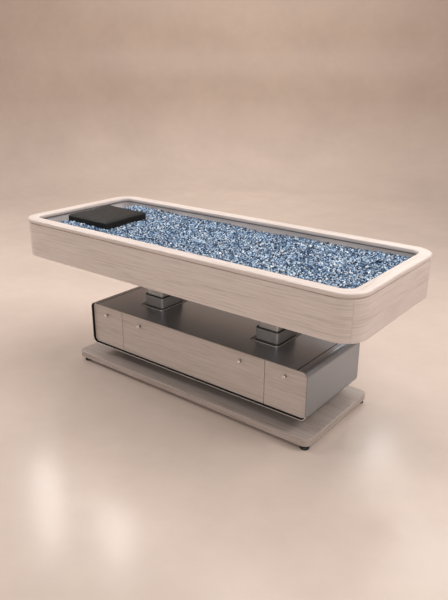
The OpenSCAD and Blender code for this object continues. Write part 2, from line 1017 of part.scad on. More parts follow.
module tub_rim() {
    corner_in_r = tub_corner_r + rim_over - rim_w;
    color(pale_wood_rim)
        translate([0, 0, apron_top]) {
            for (turn = [0, 180])
                rotate([0, 0, turn]) {
                    translate([rim_in_x, 0, 0])
                        rim_bar(2 * corner_y);
                    rotate([0, 0, 90])
                        translate([rim_in_y, 0, 0])
                            rim_bar(2 * corner_x);
                    for (side = [-1, 1])
                        translate([corner_x, side * corner_y, 0])
                            rotate([0, 0, side > 0 ? 0 : -90])
                                rotate_extrude(angle = 90)
                                    translate([corner_in_r, 0])
                                        rim_section();
                }
        }
}

module heating_mats() {
    mat_l = liner_in_x - mat_edge - mat_split / 2;
    color(black_rubber)
        for (x = [-1, 1])
            slab(x * (mat_l + mat_split) / 2, 0, liner_floor,
                mat_l, 2 * (liner_in_y - mat_edge), mat_t);
}

module temperature_probe() {
    color(steel)
        slab(0, 0, liner_floor, probe_l, probe_d, mat_t - rest_gap);
}

// Quartz filling

// Mean height along the tub, low in the middle and higher towards the head
function mean_level(x) = fill_top - fill_sag * cos(180 * x / fill_x) - fill_rise * x / fill_x;

// Height of the free surface, with its swells
function swell(x, y) =
    mean_level(x)
    + fill_wave * sin(360 * x / wave_l + wave_turn) * cos(360 * y / wave_d)
    + fill_wave / 2 * sin(360 * (x / wave_d + y / wave_l));

function in_nest(x, y) =
    abs(x - nest_x) <= nest_half_x + rest_gap && abs(y - nest_y) <= nest_half_y + rest_gap;

// Rough heaps, up at some points of the grid and down at others
function heap(i, j) = fill_relief / 2 * sin(heap_turn * (heap_skip * i + j));

function top_height(x, y, i, j) = in_nest(x, y) ? nest_floor : swell(x, y) + heap(i, j);

// Evenly spaced values, without the last one
function steps(from, to, n) = [for (i = [0:n - 1]) from + (to - from) * i / n];

// Pulls a point of a square corner on to the round corner of the liner
function round_corner(x, y) =
    let (dx = abs(x) - (fill_x - fill_r), dy = abs(y) - (fill_y - fill_r))
    dx <= 0 || dy <= 0 ? [x, y] :
    let (pull = max(dx, dy) / norm([dx, dy]))
    [sign(x) * (fill_x - fill_r + dx * pull), sign(y) * (fill_y - fill_r + dy * pull)];

module quartz_fill() {
    xs = concat(
        steps(-fill_x, nest_x - nest_half_x - nest_slope, head_steps),
        [nest_x - nest_half_x - nest_slope],
        steps(nest_x - nest_half_x, nest_x + nest_half_x, nest_steps),
        [nest_x + nest_half_x],
        steps(nest_x + nest_half_x + nest_slope, fill_x, foot_steps),
        [fill_x]
    );
    ys = concat(
        steps(-fill_y, nest_y - nest_half_y - nest_slope, side_steps),
        [nest_y - nest_half_y - nest_slope],
        steps(nest_y - nest_half_y, nest_y + nest_half_y, nest_steps),
        [nest_y + nest_half_y],
        steps(nest_y + nest_half_y + nest_slope, fill_y, side_steps),
        [fill_y]
    );
    nx = len(xs);
    ny = len(ys);
    plan = [for (x = xs, y = ys) round_corner(x, y)];
    top = [for (i = [0:nx - 1], j = [0:ny - 1])
        [plan[i * ny + j][0], plan[i * ny + j][1], top_height(xs[i], ys[j], i, j)]];
    low = [for (p = plan) [p[0], p[1], mat_top]];
    edge = concat(
        [for (i = [0:nx - 1]) i * ny],
        [for (j = [1:ny - 1]) (nx - 1) * ny + j],
        [for (i = [nx - 2:-1:0]) i * ny + ny - 1],
        [for (j = [ny - 2:-1:1]) j]
    );
    ring = len(edge);
    low_ring = [for (e = edge) low[e]];
    top_faces = [for (i = [0:nx - 2], j = [0:ny - 2], half = [0, 1])
        let (a = i * ny + j, b = a + 1, c = a + ny, d = c + 1)
        half == 0 ? [a, b, d] : [a, d, c]];
    side_faces = [for (k = [0:ring - 1], half = [0, 1])
        let (a = edge[k], b = edge[(k + 1) % ring], c = nx * ny + k, d = nx * ny + (k + 1) % ring)
        half == 0 ? [a, b, d] : [a, d, c]];
    low_face = [[for (k = [0:ring - 1]) nx * ny + k]];
    color(quartz_blue)
        polyhedron(concat(top, low_ring), concat(top_faces, side_faces, low_face));
}

// Head pillow

// Middle of the arc at a corner, counted from the one towards +X and +Y
function pillow_corner(q) =
    [(q % 4 == 0 || q % 4 == 3 ? 1 : -1) * (pillow_l / 2 - pillow_r),
        (q % 4 < 2 ? 1 : -1) * (pillow_d / 2 - pillow_r)];

// Quarter turns counted from +X, as a direction
function out_from(quarters) = [cos(90 * quarters), sin(90 * quarters)];

// Rounded rectangle whose sides are drawn in between the corners
function pillow_outline(inset) = [
    for (q = [0:3]) each concat(
        [for (i = [0:pillow_corner_steps])
            pillow_corner(q) + (pillow_r - inset) * out_from(q + i / pillow_corner_steps)],
        [for (j = [1:pillow_side_steps - 1])
            let (along = j / pillow_side_steps)
            pillow_corner(q) * (1 - along) + pillow_corner(q + 1) * along
                + (pillow_r - inset - pillow_draw * sin(180 * along)) * out_from(q + 1)]
    )
];

module head_pillow() {
    // Each level is its height, the inset of its outline and the shrink of its outline
    side_top = pillow_h - pillow_crown;
    levels = concat(
        [for (e = edge_shares) [pillow_edge * e[0], pillow_edge * e[1], 1]],
        [for (i = [len(edge_shares) - 1:-1:0])
            [side_top - pillow_edge * edge_shares[i][0], pillow_edge * edge_shares[i][1], 1]],
        [for (c = crown_shares) [side_top + pillow_crown * c[0], pillow_edge, c[1]]]
    );
    rows = len(levels);
    points = [for (row = levels, p = pillow_outline(row[1])) [p[0] * row[2], p[1] * row[2], row[0]]];
    n = len(points) / rows;
    walls = [for (i = [0:rows - 2], k = [0:n - 1], half = [0, 1])
        let (a = i * n + k, b = i * n + (k + 1) % n, c = a + n, d = b + n)
        half == 0 ? [a, d, b] : [a, c, d]];
    ends = [[for (k = [0:n - 1]) k], [for (k = [n - 1:-1:0]) (rows - 1) * n + k]];
    color(black_rubber)
        translate([nest_x, nest_y, pillow_z])
            polyhedron(points, concat(walls, ends));
}

base_plate();
foot_inserts();
plinth();
cabinet_top();
cabinet_wrap();
cabinet_back();
cabinet_uprights();
cabinet_rails();
column_foot_plates();
column_foot_bolts();
column_outer(column_x[0]);  // column_left_outer
column_outer(column_x[1]);  // column_right_outer
column_flanges();
column_seals();
spindle_nuts();
control_box();
power_inlet();
column_middle(column_x[0]);  // column_left_middle
middle_guides(column_x[0]);  // left_middle_guides
column_middle(column_x[1]);  // column_right_middle
middle_guides(column_x[1]);  // right_middle_guides
column_inner(column_x[0]);  // column_left_inner
column_inner(column_x[1]);  // column_right_inner
inner_guides();
gear_motors();
spindles();
head_plates();
head_plate_bolts();
frame_rails();
frame_crossmembers();
underside_panel();
support_board();
insulation_board();
long_panel(-1);  // apron_front
long_panel(1);  // apron_back
short_panel(-1);  // apron_head
short_panel(1);  // apron_foot
apron_battens();
tub_liner();
tub_rim();
heating_mats();
temperature_probe();
quartz_fill();
head_pillow();
drawer_front(-cab_l / 2, -seam_x - front_gap / 2);  // drawer_left_front
drawer_box(-side_box_x, side_box_l);  // drawer_left_box
drawer_knob(-side_knob_x);  // drawer_left_knob
drawer_rails(-side_box_x, side_box_l);  // drawer_left_rails
drawer_front(-seam_x + front_gap / 2, seam_x - front_gap / 2);  // drawer_centre_front
drawer_box(0, centre_box_l);  // drawer_centre_box
union() {  // drawer_centre_knobs
    drawer_knob(-knob_x);
    drawer_knob(knob_x);
}
drawer_rails(0, centre_box_l);  // drawer_centre_rails
drawer_front(seam_x + front_gap / 2, cab_l / 2);  // drawer_right_front
drawer_box(side_box_x, side_box_l);  // drawer_right_box
drawer_knob(side_knob_x);  // drawer_right_knob
drawer_rails(side_box_x, side_box_l);  // drawer_right_rails
levelling_foot(foot_x[0], -foot_y);  // foot_front_left
levelling_foot(foot_x[1], -foot_y);  // foot_front_right
levelling_foot(foot_x[0], foot_y);  // foot_back_left
levelling_foot(foot_x[1], foot_y);  // foot_back_right
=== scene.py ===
import math

import bpy
import numpy as np
from mathutils import Matrix, Vector
from mathutils.bvhtree import BVHTree


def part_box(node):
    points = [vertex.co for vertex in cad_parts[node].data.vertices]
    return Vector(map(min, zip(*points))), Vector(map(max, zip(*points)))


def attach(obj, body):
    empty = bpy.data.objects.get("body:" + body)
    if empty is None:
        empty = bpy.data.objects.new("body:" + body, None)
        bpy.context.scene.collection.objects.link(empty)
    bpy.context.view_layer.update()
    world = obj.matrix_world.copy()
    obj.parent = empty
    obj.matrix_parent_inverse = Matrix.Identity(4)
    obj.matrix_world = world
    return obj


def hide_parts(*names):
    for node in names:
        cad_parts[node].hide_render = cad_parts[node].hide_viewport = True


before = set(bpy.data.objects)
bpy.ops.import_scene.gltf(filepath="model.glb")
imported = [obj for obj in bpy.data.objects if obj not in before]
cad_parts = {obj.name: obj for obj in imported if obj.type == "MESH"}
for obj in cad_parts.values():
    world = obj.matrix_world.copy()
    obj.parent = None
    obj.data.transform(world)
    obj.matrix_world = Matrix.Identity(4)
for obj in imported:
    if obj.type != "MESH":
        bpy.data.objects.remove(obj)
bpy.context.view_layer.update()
print("frame loaded")


# Camera, solved from the edges of the bed in the photograph

cameraLook = {
    "place": (2.1087, -2.5710, 1.7320),
    "turn": 38.047,
    "down": 20.522,
    "roll": 0.27,
    "lens": 37.771,
    "sensor": 36,
    "reach": 60,
}


def makeCamera(look):
    turn, down, roll = (math.radians(look[key]) for key in ("turn", "down", "roll"))
    level = math.cos(down)
    ahead = Vector((-math.sin(turn) * level, math.cos(turn) * level, -math.sin(down)))
    side = ahead.cross(Vector((0, 0, 1))).normalized()
    above = side.cross(ahead)
    right = side * math.cos(roll) + above * math.sin(roll)
    up = above * math.cos(roll) - side * math.sin(roll)
    data = bpy.data.cameras.new("studioCamera")
    data.lens = look["lens"]
    data.sensor_width = look["sensor"]
    data.clip_end = look["reach"]
    camera = bpy.data.objects.new("studioCamera", data)
    turned = Matrix((right, up, -ahead)).transposed().to_4x4()
    camera.matrix_world = Matrix.Translation(look["place"]) @ turned
    bpy.context.scene.collection.objects.link(camera)
    bpy.context.scene.camera = camera


makeCamera(cameraLook)
print("camera placed")


# Node helpers; a noise in the settings below is its detail, roughness and scale

def startMaterial(name):
    material = bpy.data.materials.new(name)
    material.use_nodes = True
    return material, material.node_tree.nodes["Principled BSDF"]


def plug(material, node, key, value):
    socket = node.inputs[key]
    if isinstance(value, bpy.types.NodeSocket):
        material.node_tree.links.new(value, socket)
    else:
        socket.default_value = value


def addNode(material, kind, inputs=None, **settings):
    node = material.node_tree.nodes.new("ShaderNode" + kind)
    for key, value in settings.items():
        setattr(node, key, value)
    for key, value in (inputs or {}).items():
        plug(material, node, key, value)
    return node


def calc(material, way, *values):
    return addNode(material, "Math", dict(enumerate(values)), operation=way).outputs[0]


def vectorCalc(material, way, *values, part="Vector"):
    node = addNode(material, "VectorMath", dict(enumerate(values)), operation=way)
    return node.outputs[part]


def partOf(material, vector, axis):
    return addNode(material, "SeparateXYZ", {0: vector}).outputs["XYZ".index(axis)]


def stretch(material, spot, amounts):
    return vectorCalc(material, "MULTIPLY", spot, amounts)


def noise(material, spot, detail=3.0, rough=0.55, scale=1.0):
    inputs = {"Vector": spot, "Scale": scale, "Detail": detail, "Roughness": rough}
    return addNode(material, "TexNoise", inputs).outputs[0]


def ramp(material, share, stops):
    node = addNode(material, "ValToRGB", {0: share})
    bar = node.color_ramp.elements
    while len(bar) < len(stops):
        bar.new(0.5)
    for mark, (at, colour) in zip(bar, stops):
        mark.position = at
        mark.color = (*colour, 1)
    return node.outputs[0]


def toned(material, share, colour, stops, tones):
    # a colour that drifts between a darker and a lighter tone of itself
    shades = [tuple(min(1.0, part * tone) for part in colour) for tone in tones]
    return ramp(material, share, list(zip(stops, shades)))


def mixed(material, share, first, second, way="MIX"):
    inputs = {0: share, 6: first, 7: second}
    return addNode(material, "Mix", inputs, data_type="RGBA", blend_type=way).outputs[2]


def mapped(material, value, start, end, low, high):
    return addNode(material, "MapRange", {0: value, 1: start, 2: end, 3: low, 4: high}).outputs[0]


def ranged(material, value, low, high):
    # noise stays near its middle, so its useful part is spread over the range
    return mapped(material, value, 0.3, 0.7, low, high)


def bumped(material, shader, height, depth, strength):
    node = addNode(material, "Bump", {"Height": height, "Distance": depth, "Strength": strength})
    plug(material, shader, "Normal", node.outputs[0])


def objectPlace(material):
    return addNode(material, "TexCoord").outputs["Object"]


# Whitewashed ash of the tub, its rim, the drawer fronts and the base; the fronts' copy is darker as
# painted shade under the tub, and the base's copy is greyer and darker, partly as painted shade under
# the cabinet

paleAsh = {
    "light": (0.715, 0.634, 0.600),
    "middle": (0.632, 0.549, 0.510),
    "dark": (0.470, 0.396, 0.360),
}
rimAsh = {
    "light": (0.755, 0.680, 0.640),
    "middle": (0.650, 0.570, 0.532),
    "dark": (0.445, 0.375, 0.340),
}
# the same ash made darker: painted shade under the tub's overhang
shadedFrontAsh = {
    "light": (0.615, 0.540, 0.505),
    "middle": (0.535, 0.462, 0.424),
    "dark": (0.400, 0.335, 0.302),
}
# greyer and darker ash, its darkness partly painted shade under the cabinet
greyShadedBaseAsh = {
    "light": (0.510, 0.450, 0.420),
    "middle": (0.420, 0.358, 0.325),
    "dark": (0.255, 0.208, 0.186),
}
ashGrain = {
    "drift": (1.2, 3.0, 1.0),
    "driftBy": (0.0, 0.025, 0.0),
    "layers": {
        # stretch along and across the grain, detail, roughness, share
        "streaks": ((3.8, 120.0, 1.0), 6.0, 0.66, 0.64),
        "boards": ((0.9, 14.0, 1.0), 2.0, 0.55, 0.20),
        "fibres": ((14.0, 620.0, 1.0), 3.0, 0.6, 0.22),
    },
    "tones": {"dark": 0.38, "middle": 0.52, "light": 0.68},
    "rough": (0.34, 0.46),
    "depth": 0.00022,
    "strength": 0.30,
}


def woodMaterial(name, look):
    material, shader = startMaterial(name)
    spot = addNode(material, "UVMap", uv_map="grain").outputs[0]
    drift = noise(material, stretch(material, spot, ashGrain["drift"]), 2.0)
    wavy = vectorCalc(material, "MULTIPLY_ADD", drift, ashGrain["driftBy"], spot)
    layers, figure = {}, 0.0
    for layer, (amounts, detail, rough, share) in ashGrain["layers"].items():
        layers[layer] = noise(material, stretch(material, wavy, amounts), detail, rough)
        figure = calc(material, "MULTIPLY_ADD", layers[layer], share, figure)
    stops = [(at, look[tone]) for tone, at in ashGrain["tones"].items()]
    plug(material, shader, "Base Color", ramp(material, figure, stops))
    smooth, dull = ashGrain["rough"]
    plug(material, shader, "Roughness", ranged(material, layers["streaks"], dull, smooth))
    bumped(material, shader, layers["fibres"], ashGrain["depth"], ashGrain["strength"])
    return material


# Plain finishes: colour, roughness, metal, fineness of the speckle, its depth

plainLooks = {
    "columnGrey": ((0.375, 0.376, 0.378), (0.36, 0.46), 0.45, 300.0, 0.00006),
    "stageGrey": ((0.590, 0.582, 0.575), (0.36, 0.46), 0.45, 300.0, 0.00006),
    "brushedSteel": ((0.56, 0.56, 0.57), (0.28, 0.42), 1.0, 160.0, 0.00005),
    "knobMetal": ((0.84, 0.83, 0.82), (0.28, 0.36), 1.0, 500.0, 0.00002),
    # darker copy of the knob metal: painted shade on the rosette and stem
    "knobNeckShade": ((0.32, 0.31, 0.30), (0.40, 0.50), 1.0, 500.0, 0.00002),
    "driveAlloy": ((0.36, 0.37, 0.38), (0.45, 0.60), 0.9, 220.0, 0.00012),
    "undersideBoard": ((0.22, 0.215, 0.21), (0.55, 0.70), 0.0, 120.0, 0.0001),
    "blackPlastic": ((0.020, 0.020, 0.021), (0.42, 0.55), 0.0, 900.0, 0.00005),
    "blackBoard": ((0.030, 0.027, 0.025), (0.45, 0.62), 0.0, 120.0, 0.0001),
    "linerGrey": ((0.682, 0.634, 0.620), (0.32, 0.42), 0.0, 60.0, 0.00008),
    "foamBoard": ((0.780, 0.760, 0.700), (0.70, 0.85), 0.0, 260.0, 0.0003),
    "matRubber": ((0.050, 0.045, 0.045), (0.55, 0.70), 0.0, 400.0, 0.0001),
    # the dark strip under the rim: painted shadow
    "rimShadowRubber": ((0.210, 0.176, 0.158), (0.55, 0.70), 0.0, 400.0, 0.0001),
    "footRubber": ((0.014, 0.014, 0.014), (0.40, 0.60), 0.0, 500.0, 0.0001),
    "quartzDeep": ((0.030, 0.045, 0.080), (0.5, 0.8), 0.0, 260.0, 0.004),
}
plainCloud = {
    "cloud": (4.0, 0.6),
    "coarser": 0.06,
    "speck": (2.0, 0.5),
    "stops": (0.30, 0.70),
    "tones": (0.86, 1.14),
    "strength": 0.5,
}


def plainMaterial(name, colour, rough, metal, speckle, depth):
    material, shader = startMaterial(name)
    spot = objectPlace(material)
    cloud = noise(material, spot, *plainCloud["cloud"], speckle * plainCloud["coarser"])
    speck = noise(material, spot, *plainCloud["speck"], speckle)
    shade = toned(material, cloud, colour, plainCloud["stops"], plainCloud["tones"])
    plug(material, shader, "Base Color", shade)
    plug(material, shader, "Metallic", metal)
    plug(material, shader, "Roughness", ranged(material, cloud, *rough))
    bumped(material, shader, speck, depth, plainCloud["strength"])
    return material


# Sheet metal of the cabinet's shell and its top

topSheet = {
    "colour": (0.380, 0.408, 0.444),
    "stops": (0.30, 0.70),
    "tones": (0.94, 1.05),
    "rough": (0.28, 0.34),
    # near-black painted shade for the faces inside the shell and the faces turned down
    "inside": (0.005, 0.0045, 0.004),
    "insideRougher": 0.55,
    "insideFacing": -0.02,
    "facingDown": -0.7,
    # cut edges painted light as a highlight: bright low on the cabinet as a painted reflection of the
    # floor, dimmer higher up
    "cutFacing": 0.6,
    "lowEdgeHighlight": (0.80, 0.80, 0.80),
    "upperEdgeHighlight": (0.30, 0.30, 0.31),
    "highlightDimAbove": -0.100,
    "cloud": (3.0, 0.5, 3.0),
    "brushLines": (1.0, 60.0, 60.0),
    "brush": (3.0, 0.6, 12.0),
    "brushDepth": 0.00003,
    "brushStrength": 0.4,
}
shellSheet = dict(topSheet, rough=(0.35, 0.42))


def sheetMaterial(name, look, middle):
    # polished outside; inside faces and faces turned down are matt and painted near-black as shade of
    # the recess behind the fronts and of the underside; cut edges painted light as a highlight,
    # brightest along the bottom as a painted reflection of the floor
    material, shader = startMaterial(name)
    spot = objectPlace(material)
    normal = addNode(material, "NewGeometry").outputs["Normal"]
    out = vectorCalc(material, "SUBTRACT", spot, middle)
    flat = stretch(material, out, (1.0, 0.0, 1.0))
    facing = vectorCalc(material, "DOT_PRODUCT", flat, normal, part="Value")
    # painted shade: faces that look inwards or downwards go near-black
    inner = calc(material, "LESS_THAN", facing, look["insideFacing"])
    below = calc(material, "LESS_THAN", partOf(material, normal, "Z"), look["facingDown"])
    inner = calc(material, "MAXIMUM", inner, below)
    side = calc(material, "ABSOLUTE", partOf(material, normal, "Y"))
    cut = calc(material, "GREATER_THAN", side, look["cutFacing"])
    # painted highlight on the cut edges: bright along the bottom, dim above
    upper = calc(material, "GREATER_THAN", partOf(material, out, "Z"), look["highlightDimAbove"])
    cloud = noise(material, spot, *look["cloud"])
    brush = noise(material, stretch(material, spot, look["brushLines"]), *look["brush"])
    shade = toned(material, cloud, look["colour"], look["stops"], look["tones"])
    shade = mixed(material, inner, shade, (*look["inside"], 1))
    edge = mixed(material, upper, (*look["lowEdgeHighlight"], 1), (*look["upperEdgeHighlight"], 1))
    plug(material, shader, "Base Color", mixed(material, cut, shade, edge))
    metal = calc(material, "SUBTRACT", 1.0, inner)
    plug(material, shader, "Metallic", calc(material, "MAXIMUM", metal, cut))
    smooth = ranged(material, cloud, *look["rough"])
    rough = calc(material, "MULTIPLY_ADD", inner, look["insideRougher"], smooth)
    plug(material, shader, "Roughness", rough)
    bumped(material, shader, brush, look["brushDepth"], look["brushStrength"])
    return material


topJointsAndShadows = {"joint": 0.0032, "flangeShadow": 0.0034, "corner": 0.023, "dark": (0.010, 0.009, 0.009)}


def flangeDistance(material, spot, column, corner):
    # distance on the cabinet's top from the corner centres of the flange round one column
    low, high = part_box(column)
    flangeLow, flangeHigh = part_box("column_flanges")
    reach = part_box("column_left_outer")[0].x - flangeLow.x
    halfX, halfY = (high.x - low.x) / 2 + reach, (flangeHigh.y - flangeLow.y) / 2
    middle = ((low.x + high.x) / 2, (low.y + high.y) / 2, 0.0)
    away = vectorCalc(material, "ABSOLUTE", vectorCalc(material, "SUBTRACT", spot, middle))
    away = vectorCalc(material, "SUBTRACT", away, (halfX - corner, halfY - corner, 0.0))
    away = vectorCalc(material, "MAXIMUM", away, (0.0, 0.0, 0.0))
    return vectorCalc(material, "LENGTH", away, part="Value")


def topMaterial(name, look, sheetMiddle):
    # sheet with a dark joint at both ends and a painted contact shadow round each flange
    material = sheetMaterial(name, topSheet, sheetMiddle)
    shader = material.node_tree.nodes["Principled BSDF"]
    plain = shader.inputs["Base Color"].links[0].from_socket
    spot = stretch(material, objectPlace(material), (1.0, 1.0, 0.0))
    low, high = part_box("cabinet_top")
    away = calc(material, "SUBTRACT", partOf(material, spot, "X"), (low.x + high.x) / 2)
    away = calc(material, "ABSOLUTE", away)
    dark = calc(material, "GREATER_THAN", away, (high.x - low.x) / 2 - look["joint"])
    for column in ("column_left_outer", "column_right_outer"):
        gap = flangeDistance(material, spot, column, look["corner"])
        # painted shadow: a dark ring on the top round each flange
        flangeShadow = calc(material, "LESS_THAN", gap, look["corner"] + look["flangeShadow"])
        dark = calc(material, "MAXIMUM", dark, flangeShadow)
    plug(material, shader, "Base Color", mixed(material, dark, plain, (*look["dark"], 1)))
    return material


flangeLook = {
    "colour": (0.11, 0.11, 0.11),
    "edge": (0.74, 0.72, 0.70),
    "edgeFacing": 0.72,
    "rough": (0.28, 0.38),
    "metal": (0.85, 0.25),
    "cloud": (4.0, 0.6, 18.0),
}


def flangeMaterial(name, look):
    # dark on top, its side faces painted bright as a highlight round the edge
    material, shader = startMaterial(name)
    cloud = noise(material, objectPlace(material), *look["cloud"])
    up = partOf(material, addNode(material, "NewGeometry").outputs["Normal"], "Z")
    # painted highlight on the faces that don't look up
    edge = calc(material, "LESS_THAN", up, look["edgeFacing"])
    shade = mixed(material, edge, (*look["colour"], 1), (*look["edge"], 1))
    plug(material, shader, "Base Color", shade)
    plug(material, shader, "Metallic", ranged(material, edge, *look["metal"]))
    plug(material, shader, "Roughness", ranged(material, cloud, *look["rough"]))
    return material


leatherLook = {
    "colour": (0.010, 0.009, 0.008),
    "stops": (0.35, 0.65),
    "tones": (0.8, 1.35),
    "rough": (0.50, 0.64),
    "gloss": 0.24,
    "folds": (3.0, 0.5, 30.0),
    "cells": 620.0,
    "depth": 0.00025,
    "strength": 0.4,
}


def leatherMaterial(name, look):
    material, shader = startMaterial(name)
    spot = objectPlace(material)
    inputs = {"Vector": spot, "Scale": look["cells"]}
    cells = addNode(material, "TexVoronoi", inputs, feature="DISTANCE_TO_EDGE").outputs[0]
    folds = noise(material, spot, *look["folds"])
    shade = toned(material, folds, look["colour"], look["stops"], look["tones"])
    plug(material, shader, "Base Color", shade)
    plug(material, shader, "Roughness", ranged(material, folds, *look["rough"]))
    bumped(material, shader, cells, look["depth"], look["strength"])
    shader.inputs["Specular IOR Level"].default_value = look["gloss"]
    return material


chipLook = {
    "veins": (2.0, 0.5, 420.0),
    "veined": [(0.35, (0.72, 0.74, 0.78)), (0.65, (1.0, 1.0, 1.0))],
    "rough": (0.10, 0.26),
    "ior": 1.54,
    "glint": (0.80, 0.91, 1.0, 1),
}


def chipMaterial(name, look):
    material, shader = startMaterial(name)
    colour = addNode(material, "Attribute", attribute_name="chipColour").outputs[0]
    veins = noise(material, objectPlace(material), *look["veins"])
    veined = ramp(material, veins, look["veined"])
    plug(material, shader, "Base Color", mixed(material, 1.0, colour, veined, "MULTIPLY"))
    plug(material, shader, "Roughness", ranged(material, veins, *look["rough"]))
    shader.inputs["IOR"].default_value = look["ior"]
    shader.inputs["Specular Tint"].default_value = look["glint"]
    return material


def makeFinishes():
    finish = {name: plainMaterial(name, *look) for name, look in plainLooks.items()}
    woods = {"ashPanel": paleAsh, "ashRim": rimAsh, "ashFrontShaded": shadedFrontAsh, "ashBaseGreyShaded": greyShadedBaseAsh}
    for name, look in woods.items():
        finish[name] = woodMaterial(name, look)
    low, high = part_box("cabinet_wrap")
    middle = tuple((low + high) / 2)
    finish["darkShell"] = sheetMaterial("darkShell", shellSheet, middle)
    finish["darkTop"] = topMaterial("darkTop", topJointsAndShadows, middle)
    finish["flangeGrey"] = flangeMaterial("flangeGrey", flangeLook)
    finish["blackLeather"] = leatherMaterial("blackLeather", leatherLook)
    finish["quartzChips"] = chipMaterial("quartzChips", chipLook)
    return finish


finish = makeFinishes()
print("materials made")


# Shape helpers

def makePiece(name, points, faces, material, uvs=None):
    mesh = bpy.data.meshes.new(name)
    mesh.from_pydata([tuple(p) for p in points], [], [tuple(f) for f in faces])
    mesh.materials.append(material)
    if uvs:
        layer = mesh.uv_layers.new(name="grain")
        for loop in mesh.loops:
            layer.data[loop.index].uv = uvs[loop.vertex_index]
    mesh.shade_smooth()
    piece = bpy.data.objects.new(name, mesh)
    bpy.context.scene.collection.objects.link(piece)
    return piece


def fit(piece, body, slotName, *nodes):
    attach(piece, body)
    if nodes:
        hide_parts(*nodes)


def evenShading(piece):
    flat = piece.modifiers.new("evenShading", "WEIGHTED_NORMAL")
    flat.keep_sharp = True


def soften(piece, width, segments=2, angle=50):
    bevel = piece.modifiers.new("softEdges", "BEVEL")
    bevel.width = width
    bevel.segments = segments
    bevel.limit_method = "ANGLE"
    bevel.angle_limit = math.radians(angle)
    evenShading(piece)


def arc(cx, cy, radius, start, end, steps):
    # points on an arc, each with the direction that looks out from its centre
    turns = [math.radians(start + (end - start) * i / steps) for i in range(steps + 1)]
    return [(cx + radius * math.cos(t), cy + radius * math.sin(t), math.cos(t), math.sin(t))
            for t in turns]


def cornerArcs(x, y, radius, steps):
    # the four corners of a rounded rectangle, counter-clockwise from the one at +X and +Y
    return [arc(x, y, radius, 0, 90, steps), arc(-x, y, radius, 90, 180, steps),
            arc(-x, -y, radius, 180, 270, steps), arc(x, -y, radius, 270, 360, steps)]


def straight(start, end, steps):
    return [tuple(a + (b - a) * i / steps for a, b in zip(start, end)) for i in range(1, steps)]


def fullTurn(steps):
    return [2 * math.pi * k / steps for k in range(steps)]


def ringFaces(rows, n):
    # walls between rings of n points, closed at both ends
    faces = [(i * n + k, i * n + (k + 1) % n, (i + 1) * n + (k + 1) % n, (i + 1) * n + k)
             for i in range(rows - 1) for k in range(n)]
    return faces + [tuple(range(n - 1, -1, -1)), tuple((rows - 1) * n + k for k in range(n))]


faceGrain = {"facing": 0.75, "end": 3.1, "flat": 0.9, "side": 0.4, "along": 1.7}


def grainByFace(piece, shift):
    # grain runs along X, and along Y on the faces that look along X
    mesh = piece.data
    layer = mesh.uv_layers.new(name="grain")
    for face in mesh.polygons:
        across = [abs(part) for part in face.normal]
        for index in face.loop_indices:
            x, y, z = mesh.vertices[mesh.loops[index].vertex_index].co
            if across[0] > faceGrain["facing"]:
                spot = (y + faceGrain["end"], z)
            elif across[2] > faceGrain["facing"]:
                spot = (x, y + faceGrain["flat"])
            else:
                spot = (x, z + faceGrain["side"])
            layer.data[index].uv = (spot[0] + shift * faceGrain["along"], spot[1] + shift)


# Tub: apron panels, rim and a dark strip as painted shadow under the rim

tub = {
    "cornerRadius": 0.115,
    "panel": 0.018,
    "panelEdge": 0.0009,
    "groove": (0.0060, 0.0040),
    "rimWidth": 0.066,
    "rimEdge": 0.007,
    "rimEdgeSteps": 5,
    "rimGrain": 0.6,
    "cornerSteps": 10,
    "straightSteps": 24,
    "grainShifts": {"front": 0.0, "foot": 2.9, "back": 7.3, "head": 5.1},
}
tub["cornerX"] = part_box("apron_foot")[1].x - tub["cornerRadius"]
tub["cornerY"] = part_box("apron_back")[1].y - tub["cornerRadius"]
tub["rimOver"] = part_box("tub_rim")[1].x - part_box("apron_foot")[1].x


def rimPath():
    # whole way round the rim's outer edge, from the corner at the foot end and the back
    radius, bars = tub["cornerRadius"] + tub["rimOver"], tub["straightSteps"]
    corners = cornerArcs(tub["cornerX"], tub["cornerY"], radius, 2 * tub["cornerSteps"])
    path = []
    for i, corner in enumerate(corners):
        after = corners[(i + 1) % 4]
        path += corner + straight(corner[-1], after[0], bars if i % 2 == 0 else bars // 2)
    return path


def lengthsAlong(path):
    spots = [0.0]
    for a, b in zip(path, path[1:]):
        spots.append(spots[-1] + math.hypot(b[0] - a[0], b[1] - a[1]))
    return spots


def sweepRim(section, base):
    # a section of (distance in, height), clockwise from its outer side, carried round the rim
    path = rimPath()
    n, m = len(path), len(section)
    points = [(x - nx * a, y - ny * a, base + b) for x, y, nx, ny in path for a, b in section]
    faces = [(i * m + j, (i + 1) % n * m + j, (i + 1) % n * m + (j + 1) % m, i * m + (j + 1) % m)
             for i in range(n) for j in range(m)]
    return path, points, faces


def makePanel(side, path):
    # section from the outer low edge upwards, with a shadow groove at the top, then the inside
    node = "apron_" + side
    low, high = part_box("apron_front")[0].z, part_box("apron_front")[1].z
    thick, (deep, tall), shift = tub["panel"], tub["groove"], tub["grainShifts"][side]
    section = [(0.0, low), (0.0, high - tall), (deep, high - tall), (deep, high),
               (thick, high), (thick, low)]
    n = len(section)
    points = [(x - nx * a, y - ny * a, z) for x, y, nx, ny in path for a, z in section]
    faces = [(i * n + j, (i + 1) * n + j, (i + 1) * n + (j + 1) % n, i * n + (j + 1) % n)
             for i in range(len(path) - 1) for j in range(n)]
    faces += [tuple(range(n)), tuple(len(points) - 1 - k for k in range(n))]
    uvs = [(s + shift, z + a + shift) for s in lengthsAlong(path) for a, z in section]
    panel = makePiece("apronPanel_" + side, points, faces, finish["ashPanel"], uvs)
    soften(panel, tub["panelEdge"], 1)
    fit(panel, "tub", "pale_wood", node)


